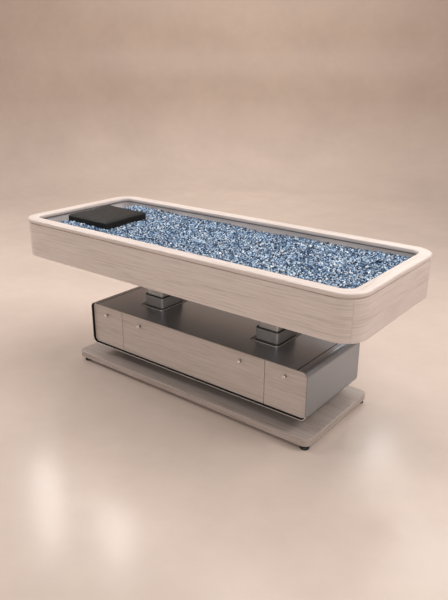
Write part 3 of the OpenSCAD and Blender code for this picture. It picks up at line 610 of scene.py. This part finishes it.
def makeApron():
    x, y, r, n = tub["cornerX"], tub["cornerY"], tub["cornerRadius"], tub["cornerSteps"]
    sides = {
        "front": (arc(-x, -y, r, 225, 270, n), arc(x, -y, r, 270, 315, n)),
        "foot": (arc(x, -y, r, 315, 360, n), arc(x, y, r, 0, 45, n)),
        "back": (arc(x, y, r, 45, 90, n), arc(-x, y, r, 90, 135, n)),
        "head": (arc(-x, y, r, 135, 180, n), arc(-x, -y, r, 180, 225, n)),
    }
    for side, (first, last) in sides.items():
        between = straight(first[-1], last[0], tub["straightSteps"])
        makePanel(side, first + between + last)


def makeRim():
    low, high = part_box("tub_rim")[0].z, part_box("tub_rim")[1].z
    edge, width, height = tub["rimEdge"], tub["rimWidth"], high - low
    section = []
    for cx, cy, start in ((width - edge, height - edge, 0), (edge, height - edge, 90),
                          (edge, edge, 180), (width - edge, edge, 270)):
        corner = arc(cx, cy, edge, start, start + 90, tub["rimEdgeSteps"])
        section += [(width - a, b) for a, b, _, _ in corner]
    path, points, faces = sweepRim(section, low)
    across = lengthsAlong(section)
    uvs = [(s, tub["rimGrain"] + v) for s in lengthsAlong(path) for v in across]
    rim = makePiece("tubRim", points, faces, finish["ashRim"], uvs)
    evenShading(rim)
    fit(rim, "tub", "rim_wood", "tub_rim")


rimShadowLook = {"near": 0.0542, "far": 0.0630, "low": -0.0052, "high": -0.0002, "chamfer": 0.0012}


def makeRimShadowStrip():
    # dark strip that closes the gap between the rim and the liner, all the way round, put in as
    # painted shadow under the rim
    near, far, low, high, cut = (rimShadowLook[key] for key in ("near", "far", "low", "high", "chamfer"))
    section = [(near, low), (near, high), (far, high), (far, low + cut), (far - cut, low)]
    _, points, faces = sweepRim(section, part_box("tub_rim")[0].z)
    strip = makePiece("rimShadowStrip", points, faces, finish["rimShadowRubber"])
    fit(strip, "tub", "mat_rubber")


makeApron()
makeRim()
makeRimShadowStrip()
print("tub made")


# Quartz chips

quartz = {
    "pitch": 0.0088,
    "rowPitch": 0.866,
    "scatter": 0.42,
    "sizes": (0.0045, 0.0082),
    "cornerSpread": 0.35,
    "cornerShift": 0.28,
    "flatness": (0.40, 1.0),
    "narrowness": (0.7, 1.0),
    "jitter": 0.0027,
    "wall": 0.0050,
    "linerCorner": 0.065,
    "padGap": 0.0035,
    "padSink": 0.0012,
    "missDrop": 0.015,
    "headDip": (0.024, -0.935, -1.030),
    "seed": 41,
    "colours": [
        (0.15, (0.90, 0.96, 1.00)),
        (0.23, (0.44, 0.61, 0.80)),
        (0.21, (0.14, 0.27, 0.45)),
        (0.21, (0.028, 0.074, 0.170)),
        (0.20, (0.005, 0.016, 0.052)),
    ],
    "blend": 0.25,
    "perPiece": 14000,
}
chipCorners = [(1, 0, 0), (-1, 0, 0), (0, 1, 0), (0, -1, 0), (0, 0, 1), (0, 0, -1)]
chipSides = [(0, 2, 4), (2, 1, 4), (1, 3, 4), (3, 0, 4), (2, 0, 5), (1, 2, 5), (3, 1, 5), (0, 3, 5)]
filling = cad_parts["quartz_fill"].data
fillTree = BVHTree.FromPolygons([v.co for v in filling.vertices],
                                [tuple(f.vertices) for f in filling.polygons])
fillLow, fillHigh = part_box("quartz_fill")
padLow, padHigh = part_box("head_pillow")


def fillLevel(x, y):
    # height of the filling in the solid model, dipping to the liner's wall at the head end
    hit = fillTree.ray_cast(Vector((x, y, 1.0)), Vector((0, 0, -1)))[0]
    level = hit.z if hit else fillHigh.z - quartz["missDrop"]
    dip, start, end = quartz["headDip"]
    share = min(1.0, max(0.0, (x - start) / (end - start)))
    return level - dip * share * share * (3 - 2 * share)


def insideLiner(x, y, gap):
    halfX, halfY, r = fillHigh.x - gap, fillHigh.y - gap, quartz["linerCorner"] - gap
    dx, dy = np.abs(x) - (halfX - r), np.abs(y) - (halfY - r)
    corner = (dx > 0) & (dy > 0)
    return (dx <= r) & (dy <= r) & (~corner | (np.hypot(dx, dy) <= r))


def underPad(x, y, gap):
    return (x > padLow.x - gap) & (x < padHigh.x + gap) & (y > padLow.y - gap) & (y < padHigh.y + gap)


def chipColours(draw, count):
    shares = np.array([share for share, _ in quartz["colours"]])
    table = np.array([colour for _, colour in quartz["colours"]])
    pick = draw.choice(len(table), count, p=shares / shares.sum())
    other = draw.choice(len(table), count, p=shares / shares.sum())
    blend = draw.uniform(0, quartz["blend"], (count, 1))
    return table[pick] * (1 - blend) + table[other] * blend


def chipPlaces(draw):
    step, scatter = quartz["pitch"], quartz["scatter"]
    xs = np.arange(fillLow.x, fillHigh.x, step)
    ys = np.arange(fillLow.y, fillHigh.y, step * quartz["rowPitch"])
    gx, gy = np.meshgrid(xs, ys, indexing="ij")
    gx = gx + (np.arange(len(ys)) % 2) * step / 2
    x = gx.ravel() + draw.uniform(-1, 1, gx.size) * step * scatter
    y = gy.ravel() + draw.uniform(-1, 1, gy.size) * step * scatter
    keep = insideLiner(x, y, quartz["wall"])
    x, y = x[keep], y[keep]
    z = np.array([fillLevel(*spot) for spot in zip(x, y)])
    z = z + draw.uniform(-1, 1, len(x)) * quartz["jitter"]
    size = draw.uniform(*quartz["sizes"], len(x))
    z = np.where(underPad(x, y, quartz["padGap"]), padLow.z - quartz["padSink"] - size, z)
    return np.stack([x, y, z], 1), size


def turnTables(draw, count):
    a = draw.normal(size=(count, 4))
    a /= np.linalg.norm(a, axis=1, keepdims=True)
    w, x, y, z = a.T
    return np.stack([
        np.stack([1 - 2 * (y * y + z * z), 2 * (x * y - w * z), 2 * (x * z + w * y)], 1),
        np.stack([2 * (x * y + w * z), 1 - 2 * (x * x + z * z), 2 * (y * z - w * x)], 1),
        np.stack([2 * (x * z - w * y), 2 * (y * z + w * x), 1 - 2 * (x * x + y * y)], 1),
    ], 1)


def chipShapes(draw, places, size):
    # eight-sided stones, each pulled out of shape, flattened and turned its own way
    count, spread, shift = len(places), quartz["cornerSpread"], quartz["cornerShift"]
    shape = np.array(chipCorners, float)[None] * (1 + draw.uniform(-spread, spread, (count, 6, 1)))
    shape = shape + draw.uniform(-shift, shift, (count, 6, 3))
    shape[:, :, 2] *= draw.uniform(*quartz["flatness"], (count, 1))
    shape[:, :, 1] *= draw.uniform(*quartz["narrowness"], (count, 1))
    turned = np.einsum("nij,nkj->nki", turnTables(draw, count), shape)
    return turned * size[:, None, None] + places[:, None, :]


def makeChips():
    draw = np.random.default_rng(quartz["seed"])
    places, size = chipPlaces(draw)
    stones = chipShapes(draw, places, size)
    colours = chipColours(draw, len(places))
    for number, start in enumerate(range(0, len(places), quartz["perPiece"])):
        part = stones[start:start + quartz["perPiece"]]
        n = len(part)
        faces = (np.arange(n)[:, None, None] * 6 + np.array(chipSides)[None]).reshape(-1, 3)
        name = "quartzChips_" + str(number + 1)
        mesh = bpy.data.meshes.new(name)
        mesh.from_pydata(part.reshape(-1, 3).tolist(), [], faces.tolist())
        mesh.materials.append(finish["quartzChips"])
        tint = mesh.attributes.new("chipColour", "FLOAT_COLOR", "POINT")
        full = np.ones((n * 6, 4), np.float32)
        full[:, :3] = np.repeat(colours[start:start + n], 6, axis=0)
        tint.data.foreach_set("color", full.ravel())
        piece = bpy.data.objects.new(name, mesh)
        bpy.context.scene.collection.objects.link(piece)
        fit(piece, "tub", "quartz", "quartz_fill")
    print("chips made:", len(places))


chipBed = {
    "grid": (120, 46),
    "inset": 0.001,
    "corner": 0.064,
    "drop": 0.0058,
    "pad": (0.012, 0.006),
    "within": 0.999,
}


def bedPoint(x, y):
    # a grid point, pulled onto the round of the liner's corner where it lies outside
    cornerX = fillHigh.x - chipBed["corner"] - chipBed["inset"]
    cornerY = fillHigh.y - chipBed["corner"] - chipBed["inset"]
    dx, dy = abs(x) - cornerX, abs(y) - cornerY
    px, py = x, y
    if dx > 0 and dy > 0:
        pull = max(dx, dy) / math.hypot(dx, dy)
        px, py = math.copysign(cornerX + dx * pull, x), math.copysign(cornerY + dy * pull, y)
    around, below = chipBed["pad"]
    if underPad(x, y, around):
        return px, py, padLow.z - below
    within = chipBed["within"]
    return px, py, fillLevel(px * within, py * within) - chipBed["drop"]


def makeChipBed():
    # dark bed under the loose chips, closed down to the mats
    (nx, ny), inset = chipBed["grid"], chipBed["inset"]
    xs = np.linspace(fillLow.x + inset, fillHigh.x - inset, nx)
    ys = np.linspace(fillLow.y + inset, fillHigh.y - inset, ny)
    points = [bedPoint(x, y) for x in xs for y in ys]
    faces = [(i * ny + j, (i + 1) * ny + j, (i + 1) * ny + j + 1, i * ny + j + 1)
             for i in range(nx - 1) for j in range(ny - 1)]
    edge = [i * ny for i in range(nx)] + [(nx - 1) * ny + j for j in range(1, ny)]
    edge += [i * ny + ny - 1 for i in range(nx - 2, -1, -1)] + list(range(ny - 2, 0, -1))
    first, n = len(points), len(edge)
    points += [(points[e][0], points[e][1], fillLow.z) for e in edge]
    faces += [(edge[(k + 1) % n], edge[k], first + k, first + (k + 1) % n) for k in range(n)]
    faces.append(tuple(first + k for k in range(n - 1, -1, -1)))
    bed = makePiece("quartzBed", points, faces, finish["quartzDeep"])
    fit(bed, "tub", "quartz", "quartz_fill")


makeChipBed()
makeChips()


# Head pillow

pillow = {
    "edge": 0.0045,
    "crown": 0.003,
    "crownRings": (0.9, 0.75, 0.55, 0.35, 0.18, 0.06),
    "draw": 0.002,
    "corner": 0.005,
    "cornerSteps": 6,
    "sideSteps": 16,
    "edgeTurn": 18,
    "smaller": 0.0004,
    "liftToHead": 0.004,
    "liftToBack": 0.007,
}
cover = {
    "voxel": 0.005,
    "pressure": 4.0,
    "frames": 20,
    "outwards": 0.005,
    "inwards": 0.0012,
    "cloth": {
        "quality": 6,
        "mass": 0.25,
        "tension_stiffness": 45,
        "compression_stiffness": 45,
        "shear_stiffness": 20,
        "bending_stiffness": 4,
    },
}


def meshNow(piece):
    graph = bpy.context.evaluated_depsgraph_get()
    return bpy.data.meshes.new_from_object(piece.evaluated_get(graph))


def swell(pad, look):
    # cloth simulation: the cover is blown up from a slightly smaller shape, held near its start
    remesh = pad.modifiers.new("evenSkin", "REMESH")
    remesh.mode = "VOXEL"
    remesh.voxel_size = look["voxel"]
    skin = meshNow(pad)
    pad.modifiers.clear()
    pad.data = skin
    settings = pad.modifiers.new("cover", "CLOTH").settings
    for key, value in look["cloth"].items():
        setattr(settings, key, value)
    settings.use_pressure = True
    settings.uniform_pressure_force = look["pressure"]
    settings.effector_weights.gravity = 0
    for step in range(1, look["frames"] + 1):
        bpy.context.scene.frame_set(step)
    blown = meshNow(pad)
    pad.modifiers.clear()
    bpy.context.scene.frame_set(1)
    moves = []
    for vertex, after in zip(skin.vertices, blown.vertices):
        move = after.co - vertex.co
        most = look["outwards"] if move.dot(vertex.normal) > 0 else look["inwards"]
        moves.append(move * min(1.0, most / max(move.length, 1e-9)))
    for vertex, move in zip(skin.vertices, moves):
        vertex.co += move
    bpy.data.meshes.remove(blown)
    skin.shade_smooth()
    finer = pad.modifiers.new("finer", "SUBSURF")
    finer.levels = finer.render_levels = 1
    print("pillow cover simulated")


def pillowPath(halfX, halfY, look):
    # outline seen from above, its sides drawn in a little between the corners
    corners = cornerArcs(halfX, halfY, look["corner"], look["cornerSteps"])
    steps, path = look["sideSteps"], []
    for i, corner in enumerate(corners):
        path += corner
        side = straight(corner[-1], corners[(i + 1) % 4][0], steps)
        for k, (x, y, nx, ny) in enumerate(side):
            drawn = look["draw"] * math.sin(math.pi * (k + 1) / steps)
            path.append((x - nx * drawn, y - ny * drawn, nx, ny))
    return path


def pillowRows(bottom, side, look):
    # height, distance in and size of each ring, up the side and then over the crown
    rows, edge, turn = [], look["edge"], look["edgeTurn"]
    for t in map(math.radians, range(0, 91, turn)):
        rows.append((bottom + edge * (1 - math.cos(t)), edge * (1 - math.sin(t)), 1.0))
    for t in map(math.radians, range(90, -1, -turn)):
        rows.append((side - edge * (1 - math.cos(t)), edge * (1 - math.sin(t)), 1.0))
    for share in look["crownRings"]:
        rows.append((side + look["crown"] * (1 - share ** 3), edge, share))
    return rows


def makePillow(look):
    thin = look["smaller"]
    low, high = padLow + Vector((thin, thin, 0)), padHigh - Vector((thin, thin, thin))
    middle, halfX, halfY = (low + high) / 2, (high.x - low.x) / 2, (high.y - low.y) / 2
    path = pillowPath(halfX - look["corner"], halfY - look["corner"], look)
    rows = pillowRows(low.z, high.z - look["crown"], look)
    points = []
    for z, inset, share in rows:
        for x, y, nx, ny in path:
            x, y = (x - nx * inset) * share, (y - ny * inset) * share
            # a little thicker towards the head end and the back, as it lies in the photograph
            lift = look["liftToHead"] * (0.5 - 0.5 * x / halfX)
            lift += look["liftToBack"] * (0.5 + 0.5 * y / halfY)
            z2 = z + lift * (z - low.z) / (high.z - low.z)
            points.append((middle.x + x, middle.y + y, z2))
    faces = ringFaces(len(rows), len(path))
    pad = makePiece("headPillow", points, faces, finish["blackLeather"])
    swell(pad, cover)
    fit(pad, "pillow", "black_leather", "head_pillow")


makePillow(pillow)
print("pillow made")


# Drawer fronts and knobs

drawerFront = {
    "edge": 0.0014,
    "corner": 0.025,
    "cornerSteps": 8,
    # which corners are round, counter-clockwise from the one at +X and top, and the grain's shift
    "sides": {
        "left": ((False, True, True, False), 4.7),
        "centre": ((False, False, False, False), 0.3),
        "right": ((True, False, False, True), 9.1),
    },
}


def frontOutline(length, height, rounded):
    radius, steps, spots = drawerFront["corner"], drawerFront["cornerSteps"], []
    for i, (sx, sy) in enumerate(((1, 1), (-1, 1), (-1, -1), (1, -1))):
        if rounded[i]:
            cx, cy = sx * (length / 2 - radius), sy * (height / 2 - radius)
            spots += [spot[:2] for spot in arc(cx, cy, radius, 90 * i, 90 * i + 90, steps)]
        else:
            spots.append((sx * length / 2, sy * height / 2))
    return spots


def makeFront(side, rounded, shift):
    node = "drawer_" + side + "_front"
    low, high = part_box(node)
    middle = (low + high) / 2
    outline = frontOutline(high.x - low.x, high.z - low.z, rounded)
    n = len(outline)
    points = [(middle.x + x, y, middle.z + z) for y in (low.y, high.y) for x, z in outline]
    faces = [tuple(range(n)), tuple(range(2 * n - 1, n - 1, -1))]
    faces += [(k, n + k, n + (k + 1) % n, (k + 1) % n) for k in range(n)]
    front = makePiece("drawerFront_" + side, points, faces, finish["ashFrontShaded"])
    grainByFace(front, shift)
    soften(front, drawerFront["edge"])
    fit(front, "drawer_" + side, "pale_wood", node)


knob = {
    "steps": 28,
    "neckRings": 7,
    "radius": 0.0100,
    # radius and distance out from the front: rosette, stem and head
    "profile": [
        (0.0085, 0.0000), (0.0085, 0.0012), (0.0073, 0.0020), (0.0065, 0.0024), (0.0060, 0.0035),
        (0.0060, 0.0085), (0.0070, 0.0100), (0.0075, 0.0115), (0.0094, 0.0125), (0.0100, 0.0140),
        (0.0100, 0.0190), (0.0094, 0.0204), (0.0080, 0.0214), (0.0065, 0.0218),
    ],
}


def makeKnob(name, x, body, node):
    low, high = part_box("drawer_left_knob")
    y, z, n = high.y, (low.z + high.z) / 2, knob["steps"]
    points = [(x + r * math.cos(t), y - out, z + r * math.sin(t))
              for r, out in knob["profile"] for t in fullTurn(n)]
    piece = makePiece(name, points, ringFaces(len(knob["profile"]), n), finish["knobMetal"])
    # painted shade: the rosette and stem get the darker copy of the metal
    piece.data.materials.append(finish["knobNeckShade"])
    for index in range(knob["neckRings"] * n):
        piece.data.polygons[index].material_index = 1
    evenShading(piece)
    fit(piece, body, "knob_metal", node)


def makeDrawers():
    for side, (rounded, shift) in drawerFront["sides"].items():
        makeFront(side, rounded, shift)
    leftLow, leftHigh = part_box("drawer_left_knob")
    rightLow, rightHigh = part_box("drawer_right_knob")
    low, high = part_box("drawer_centre_knobs")
    knobs = {
        "left": ((leftLow.x + leftHigh.x) / 2, "drawer_left", "drawer_left_knob"),
        "centreLeft": (low.x + knob["radius"], "drawer_centre", "drawer_centre_knobs"),
        "centreRight": (high.x - knob["radius"], "drawer_centre", "drawer_centre_knobs"),
        "right": ((rightLow.x + rightHigh.x) / 2, "drawer_right", "drawer_right_knob"),
    }
    for side, (x, body, node) in knobs.items():
        makeKnob("drawerKnob_" + side, x, body, node)


makeDrawers()
print("drawers made")


# Base plate and levelling feet

basePlate = {"corner": 0.038, "edge": 0.0035, "edgeSteps": 3, "cornerSteps": 10, "shift": 6.2}


def makeBasePlate(look):
    low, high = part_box("base_plate")
    middle, r = (low + high) / 2, look["corner"]
    cornerX, cornerY = (high.x - low.x) / 2 - r, (high.y - low.y) / 2 - r
    outline = [(middle.x + x, middle.y + y)
               for corner in cornerArcs(cornerX, cornerY, r, look["cornerSteps"])
               for x, y, _, _ in corner]
    n = len(outline)
    points = [(x, y, z) for z in (low.z, high.z) for x, y in outline]
    faces = [tuple(range(n - 1, -1, -1)), tuple(range(n, 2 * n))]
    faces += [(k, (k + 1) % n, n + (k + 1) % n, n + k) for k in range(n)]
    plate = makePiece("basePlate", points, faces, finish["ashBaseGreyShaded"])
    grainByFace(plate, look["shift"])
    soften(plate, look["edge"], look["edgeSteps"])
    fit(plate, "base", "pale_wood", "base_plate")


foot = {
    "steps": 40,
    "stem": 0.0050,
    # radius and height: pad, hub and nut
    "profile": [
        (0.0225, 0.0000), (0.0240, 0.0015), (0.0240, 0.0075), (0.0224, 0.0090), (0.0224, 0.0105),
        (0.0200, 0.0145), (0.0098, 0.0152), (0.0098, 0.0208), (0.0085, 0.0217), (0.0050, 0.0217),
    ],
    "names": {
        "front_left": "levelFoot_frontLeft",
        "front_right": "levelFoot_frontRight",
        "back_left": "levelFoot_backLeft",
        "back_right": "levelFoot_backRight",
    },
}


def makeFoot(side, name):
    node = "foot_" + side
    low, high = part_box(node)
    x, y, n = (low.x + high.x) / 2, (low.y + high.y) / 2, foot["steps"]
    profile = foot["profile"] + [(foot["stem"], high.z)]
    points = [(x + r * math.cos(t), y + r * math.sin(t), z)
              for r, z in profile for t in fullTurn(n)]
    piece = makePiece(name, points, ringFaces(len(profile), n), finish["footRubber"])
    evenShading(piece)
    fit(piece, node, "foot_rubber", node)


makeBasePlate(basePlate)
for side, name in foot["names"].items():
    makeFoot(side, name)
print("base made")


# Finishes and soft edges of the pieces that stay as they are

nodeFinishes = {
    "columnGrey": ["column_left_outer", "column_right_outer"],
    "stageGrey": ["column_left_middle", "column_right_middle", "column_left_inner",
                  "column_right_inner"],
    "flangeGrey": ["column_flanges"],
    "darkTop": ["cabinet_top"],
    "darkShell": ["cabinet_wrap"],
    "blackBoard": ["cabinet_back", "cabinet_uprights", "plinth", "support_board", "apron_battens",
                   "drawer_left_box", "drawer_centre_box", "drawer_right_box"],
    "brushedSteel": ["cabinet_rails", "drawer_left_rails", "drawer_centre_rails",
                     "drawer_right_rails", "foot_inserts", "column_foot_plates",
                     "column_foot_bolts", "spindle_nuts", "spindles", "head_plates",
                     "head_plate_bolts", "frame_rails", "frame_crossmembers",
                     "temperature_probe"],
    "blackPlastic": ["column_seals", "left_middle_guides", "right_middle_guides", "inner_guides",
                     "control_box", "power_inlet"],
    "undersideBoard": ["underside_panel"],
    "driveAlloy": ["gear_motors"],
    "linerGrey": ["tub_liner"],
    "foamBoard": ["insulation_board"],
    "matRubber": ["heating_mats"],
}
softEdges = {
    "column_flanges": 0.0010, "cabinet_top": 0.0007, "cabinet_wrap": 0.0007,
    "drawer_left_box": 0.0010, "drawer_centre_box": 0.0010, "drawer_right_box": 0.0010,
    "column_foot_plates": 0.0010, "head_plates": 0.0010, "control_box": 0.0030,
    "power_inlet": 0.0006,
}
cleaning = {"weld": 0.00002, "flat": 0.5}


def softenNode(piece, width):
    # the solids come in triangles, which are joined into whole faces first
    weld = piece.modifiers.new("oneSkin", "WELD")
    weld.merge_threshold = cleaning["weld"]
    thin = piece.modifiers.new("wholeFaces", "DECIMATE")
    thin.decimate_type = "DISSOLVE"
    thin.angle_limit = math.radians(cleaning["flat"])
    soften(piece, width)


for finishName, nodes in nodeFinishes.items():
    for node in nodes:
        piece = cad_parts[node]
        piece.data.materials.clear()
        piece.data.materials.append(finish[finishName])
        if node in softEdges:
            softenNode(piece, softEdges[node])
print("finishes given")


# Studio

studio = {
    "floorRadius": 6.0,
    "curve": 2.2,
    "curveTurn": 6,
    "wallTop": 4.6,
    "sides": 96,
    "floorColour": (0.695, 0.586, 0.517),
    "wallColour": (0.505, 0.397, 0.333),
    "wallHeights": (0.0, 1.2),
    "cloud": (4.0, 0.6, 1.1),
    "cloudTones": [(0.25, (0.88, 0.88, 0.88)), (0.75, (1.0, 1.0, 1.0))],
    "grit": (5.0, 0.7, 7.0),
    "gritTones": [(0.30, (0.955, 0.950, 0.950)), (0.70, (1.0, 1.0, 1.0))],
    "frontShade": (-2.3, 0.2, 0.91, 1.0),
    "floorRough": (0.17, 0.26),
    "gloss": (0.0, 0.7, 0.42, 0.05),
    "ripple": (2.0, 0.5, 5.0),
    "rippleDepth": 0.01,
    "rippleStrength": 0.05,
    "world": (1.0, 0.95, 0.91),
    "worldStrength": 0.34,
    "lamps": [
        # place, aim, width, height, watts, colour
        ((3.6, 1.4, 3.7), (0.2, 0.0, 0.5), 2.4, 2.4, 113.0, (1.0, 0.955, 0.92)),
        ((0.0, 0.8, 4.4), (-0.1, 0.0, 0.5), 3.2, 3.2, 90.0, (1.0, 0.955, 0.92)),
        ((3.8, -6.2, 3.3), (0.1, 0.0, 0.5), 3.0, 2.0, 146.0, (1.0, 0.955, 0.92)),
        ((-2.4, 3.5, 3.4), (-4.9, 6.9, 1.3), 2.2, 1.0, 92.0, (1.0, 0.94, 0.88)),
        ((-4.4, -1.6, 3.6), (-2.6, 0.6, 0.0), 2.4, 2.0, 132.0, (1.0, 0.95, 0.91)),
        ((-3.41, 1.06, 3.3), (0.21, -1.32, 0.0), 0.22, 1.0, 9.0, (1.0, 0.96, 0.93)),
        ((-2.60, 1.42, 3.3), (0.49, -1.20, 0.0), 0.18, 1.0, 11.0, (1.0, 0.96, 0.93)),
        ((-0.65, 4.36, 3.3), (1.16, -0.19, 0.0), 0.36, 0.5, 9.5, (1.0, 0.96, 0.93)),
        ((0.55, 2.95, 3.3), (1.56, -0.70, 0.0), 1.00, 1.0, 12.0, (1.0, 0.96, 0.93)),
    ],
}


def studioMaterial(look):
    # polished floor that turns into a matt wall
    material, shader = startMaterial("studioFloor")
    spot = objectPlace(material)
    height = partOf(material, spot, "Z")
    cloud = noise(material, spot, *look["cloud"])
    grit = noise(material, spot, *look["grit"])
    ripple = noise(material, spot, *look["ripple"])
    wall = mapped(material, height, *look["wallHeights"], 0.0, 1.0)
    colour = mixed(material, wall, (*look["floorColour"], 1), (*look["wallColour"], 1))
    shade = ramp(material, cloud, look["cloudTones"])
    shade = mixed(material, 1.0, shade, ramp(material, grit, look["gritTones"]), "MULTIPLY")
    front = mapped(material, partOf(material, spot, "Y"), *look["frontShade"])
    shade = mixed(material, 1.0, shade, front, "MULTIPLY")
    plug(material, shader, "Base Color", mixed(material, 1.0, colour, shade, "MULTIPLY"))
    plug(material, shader, "Roughness", ranged(material, cloud, *look["floorRough"]))
    plug(material, shader, "Specular IOR Level", mapped(material, height, *look["gloss"]))
    bumped(material, shader, ripple, look["rippleDepth"], look["rippleStrength"])
    return material


def makeStudio(look):
    # round floor that curves up into a round wall, the same from every side
    edge, curve, n = look["floorRadius"], look["curve"], look["sides"]
    profile = [(edge * 0.5, 0.0), (edge, 0.0)]
    for t in map(math.radians, range(look["curveTurn"], 91, look["curveTurn"])):
        profile.append((edge + curve * math.sin(t), curve * (1 - math.cos(t))))
    profile.append((edge + curve, look["wallTop"]))
    points = [(0, 0, 0)]
    points += [(r * math.cos(t), r * math.sin(t), z) for r, z in profile for t in fullTurn(n)]
    faces = [(0, 1 + k, 1 + (k + 1) % n) for k in range(n)]
    for i in range(len(profile) - 1):
        a, b = 1 + i * n, 1 + (i + 1) * n
        faces += [(a + k, b + k, b + (k + 1) % n, a + (k + 1) % n) for k in range(n)]
    bowl = makePiece("studioBowl", points, faces, studioMaterial(look))


def makeLamp(name, place, aim, width, height, watts, colour):
    data = bpy.data.lights.new(name, "AREA")
    data.shape = "RECTANGLE"
    data.size = width
    data.size_y = height
    data.energy = watts
    data.color = colour
    lamp = bpy.data.objects.new(name, data)
    lamp.location = place
    lamp.rotation_euler = (Vector(aim) - Vector(place)).to_track_quat("-Z", "Y").to_euler()
    bpy.context.scene.collection.objects.link(lamp)


def makeWorld(look):
    world = bpy.data.worlds.new("studioWorld")
    world.use_nodes = True
    sky = world.node_tree.nodes["Background"]
    sky.inputs[0].default_value = (*look["world"], 1)
    sky.inputs[1].default_value = look["worldStrength"]
    bpy.context.scene.world = world
    bpy.context.scene.view_settings.view_transform = "Standard"


makeStudio(studio)
for number, settings in enumerate(studio["lamps"]):
    makeLamp("softbox" + str(number + 1), *settings)
makeWorld(studio)
print("studio made")
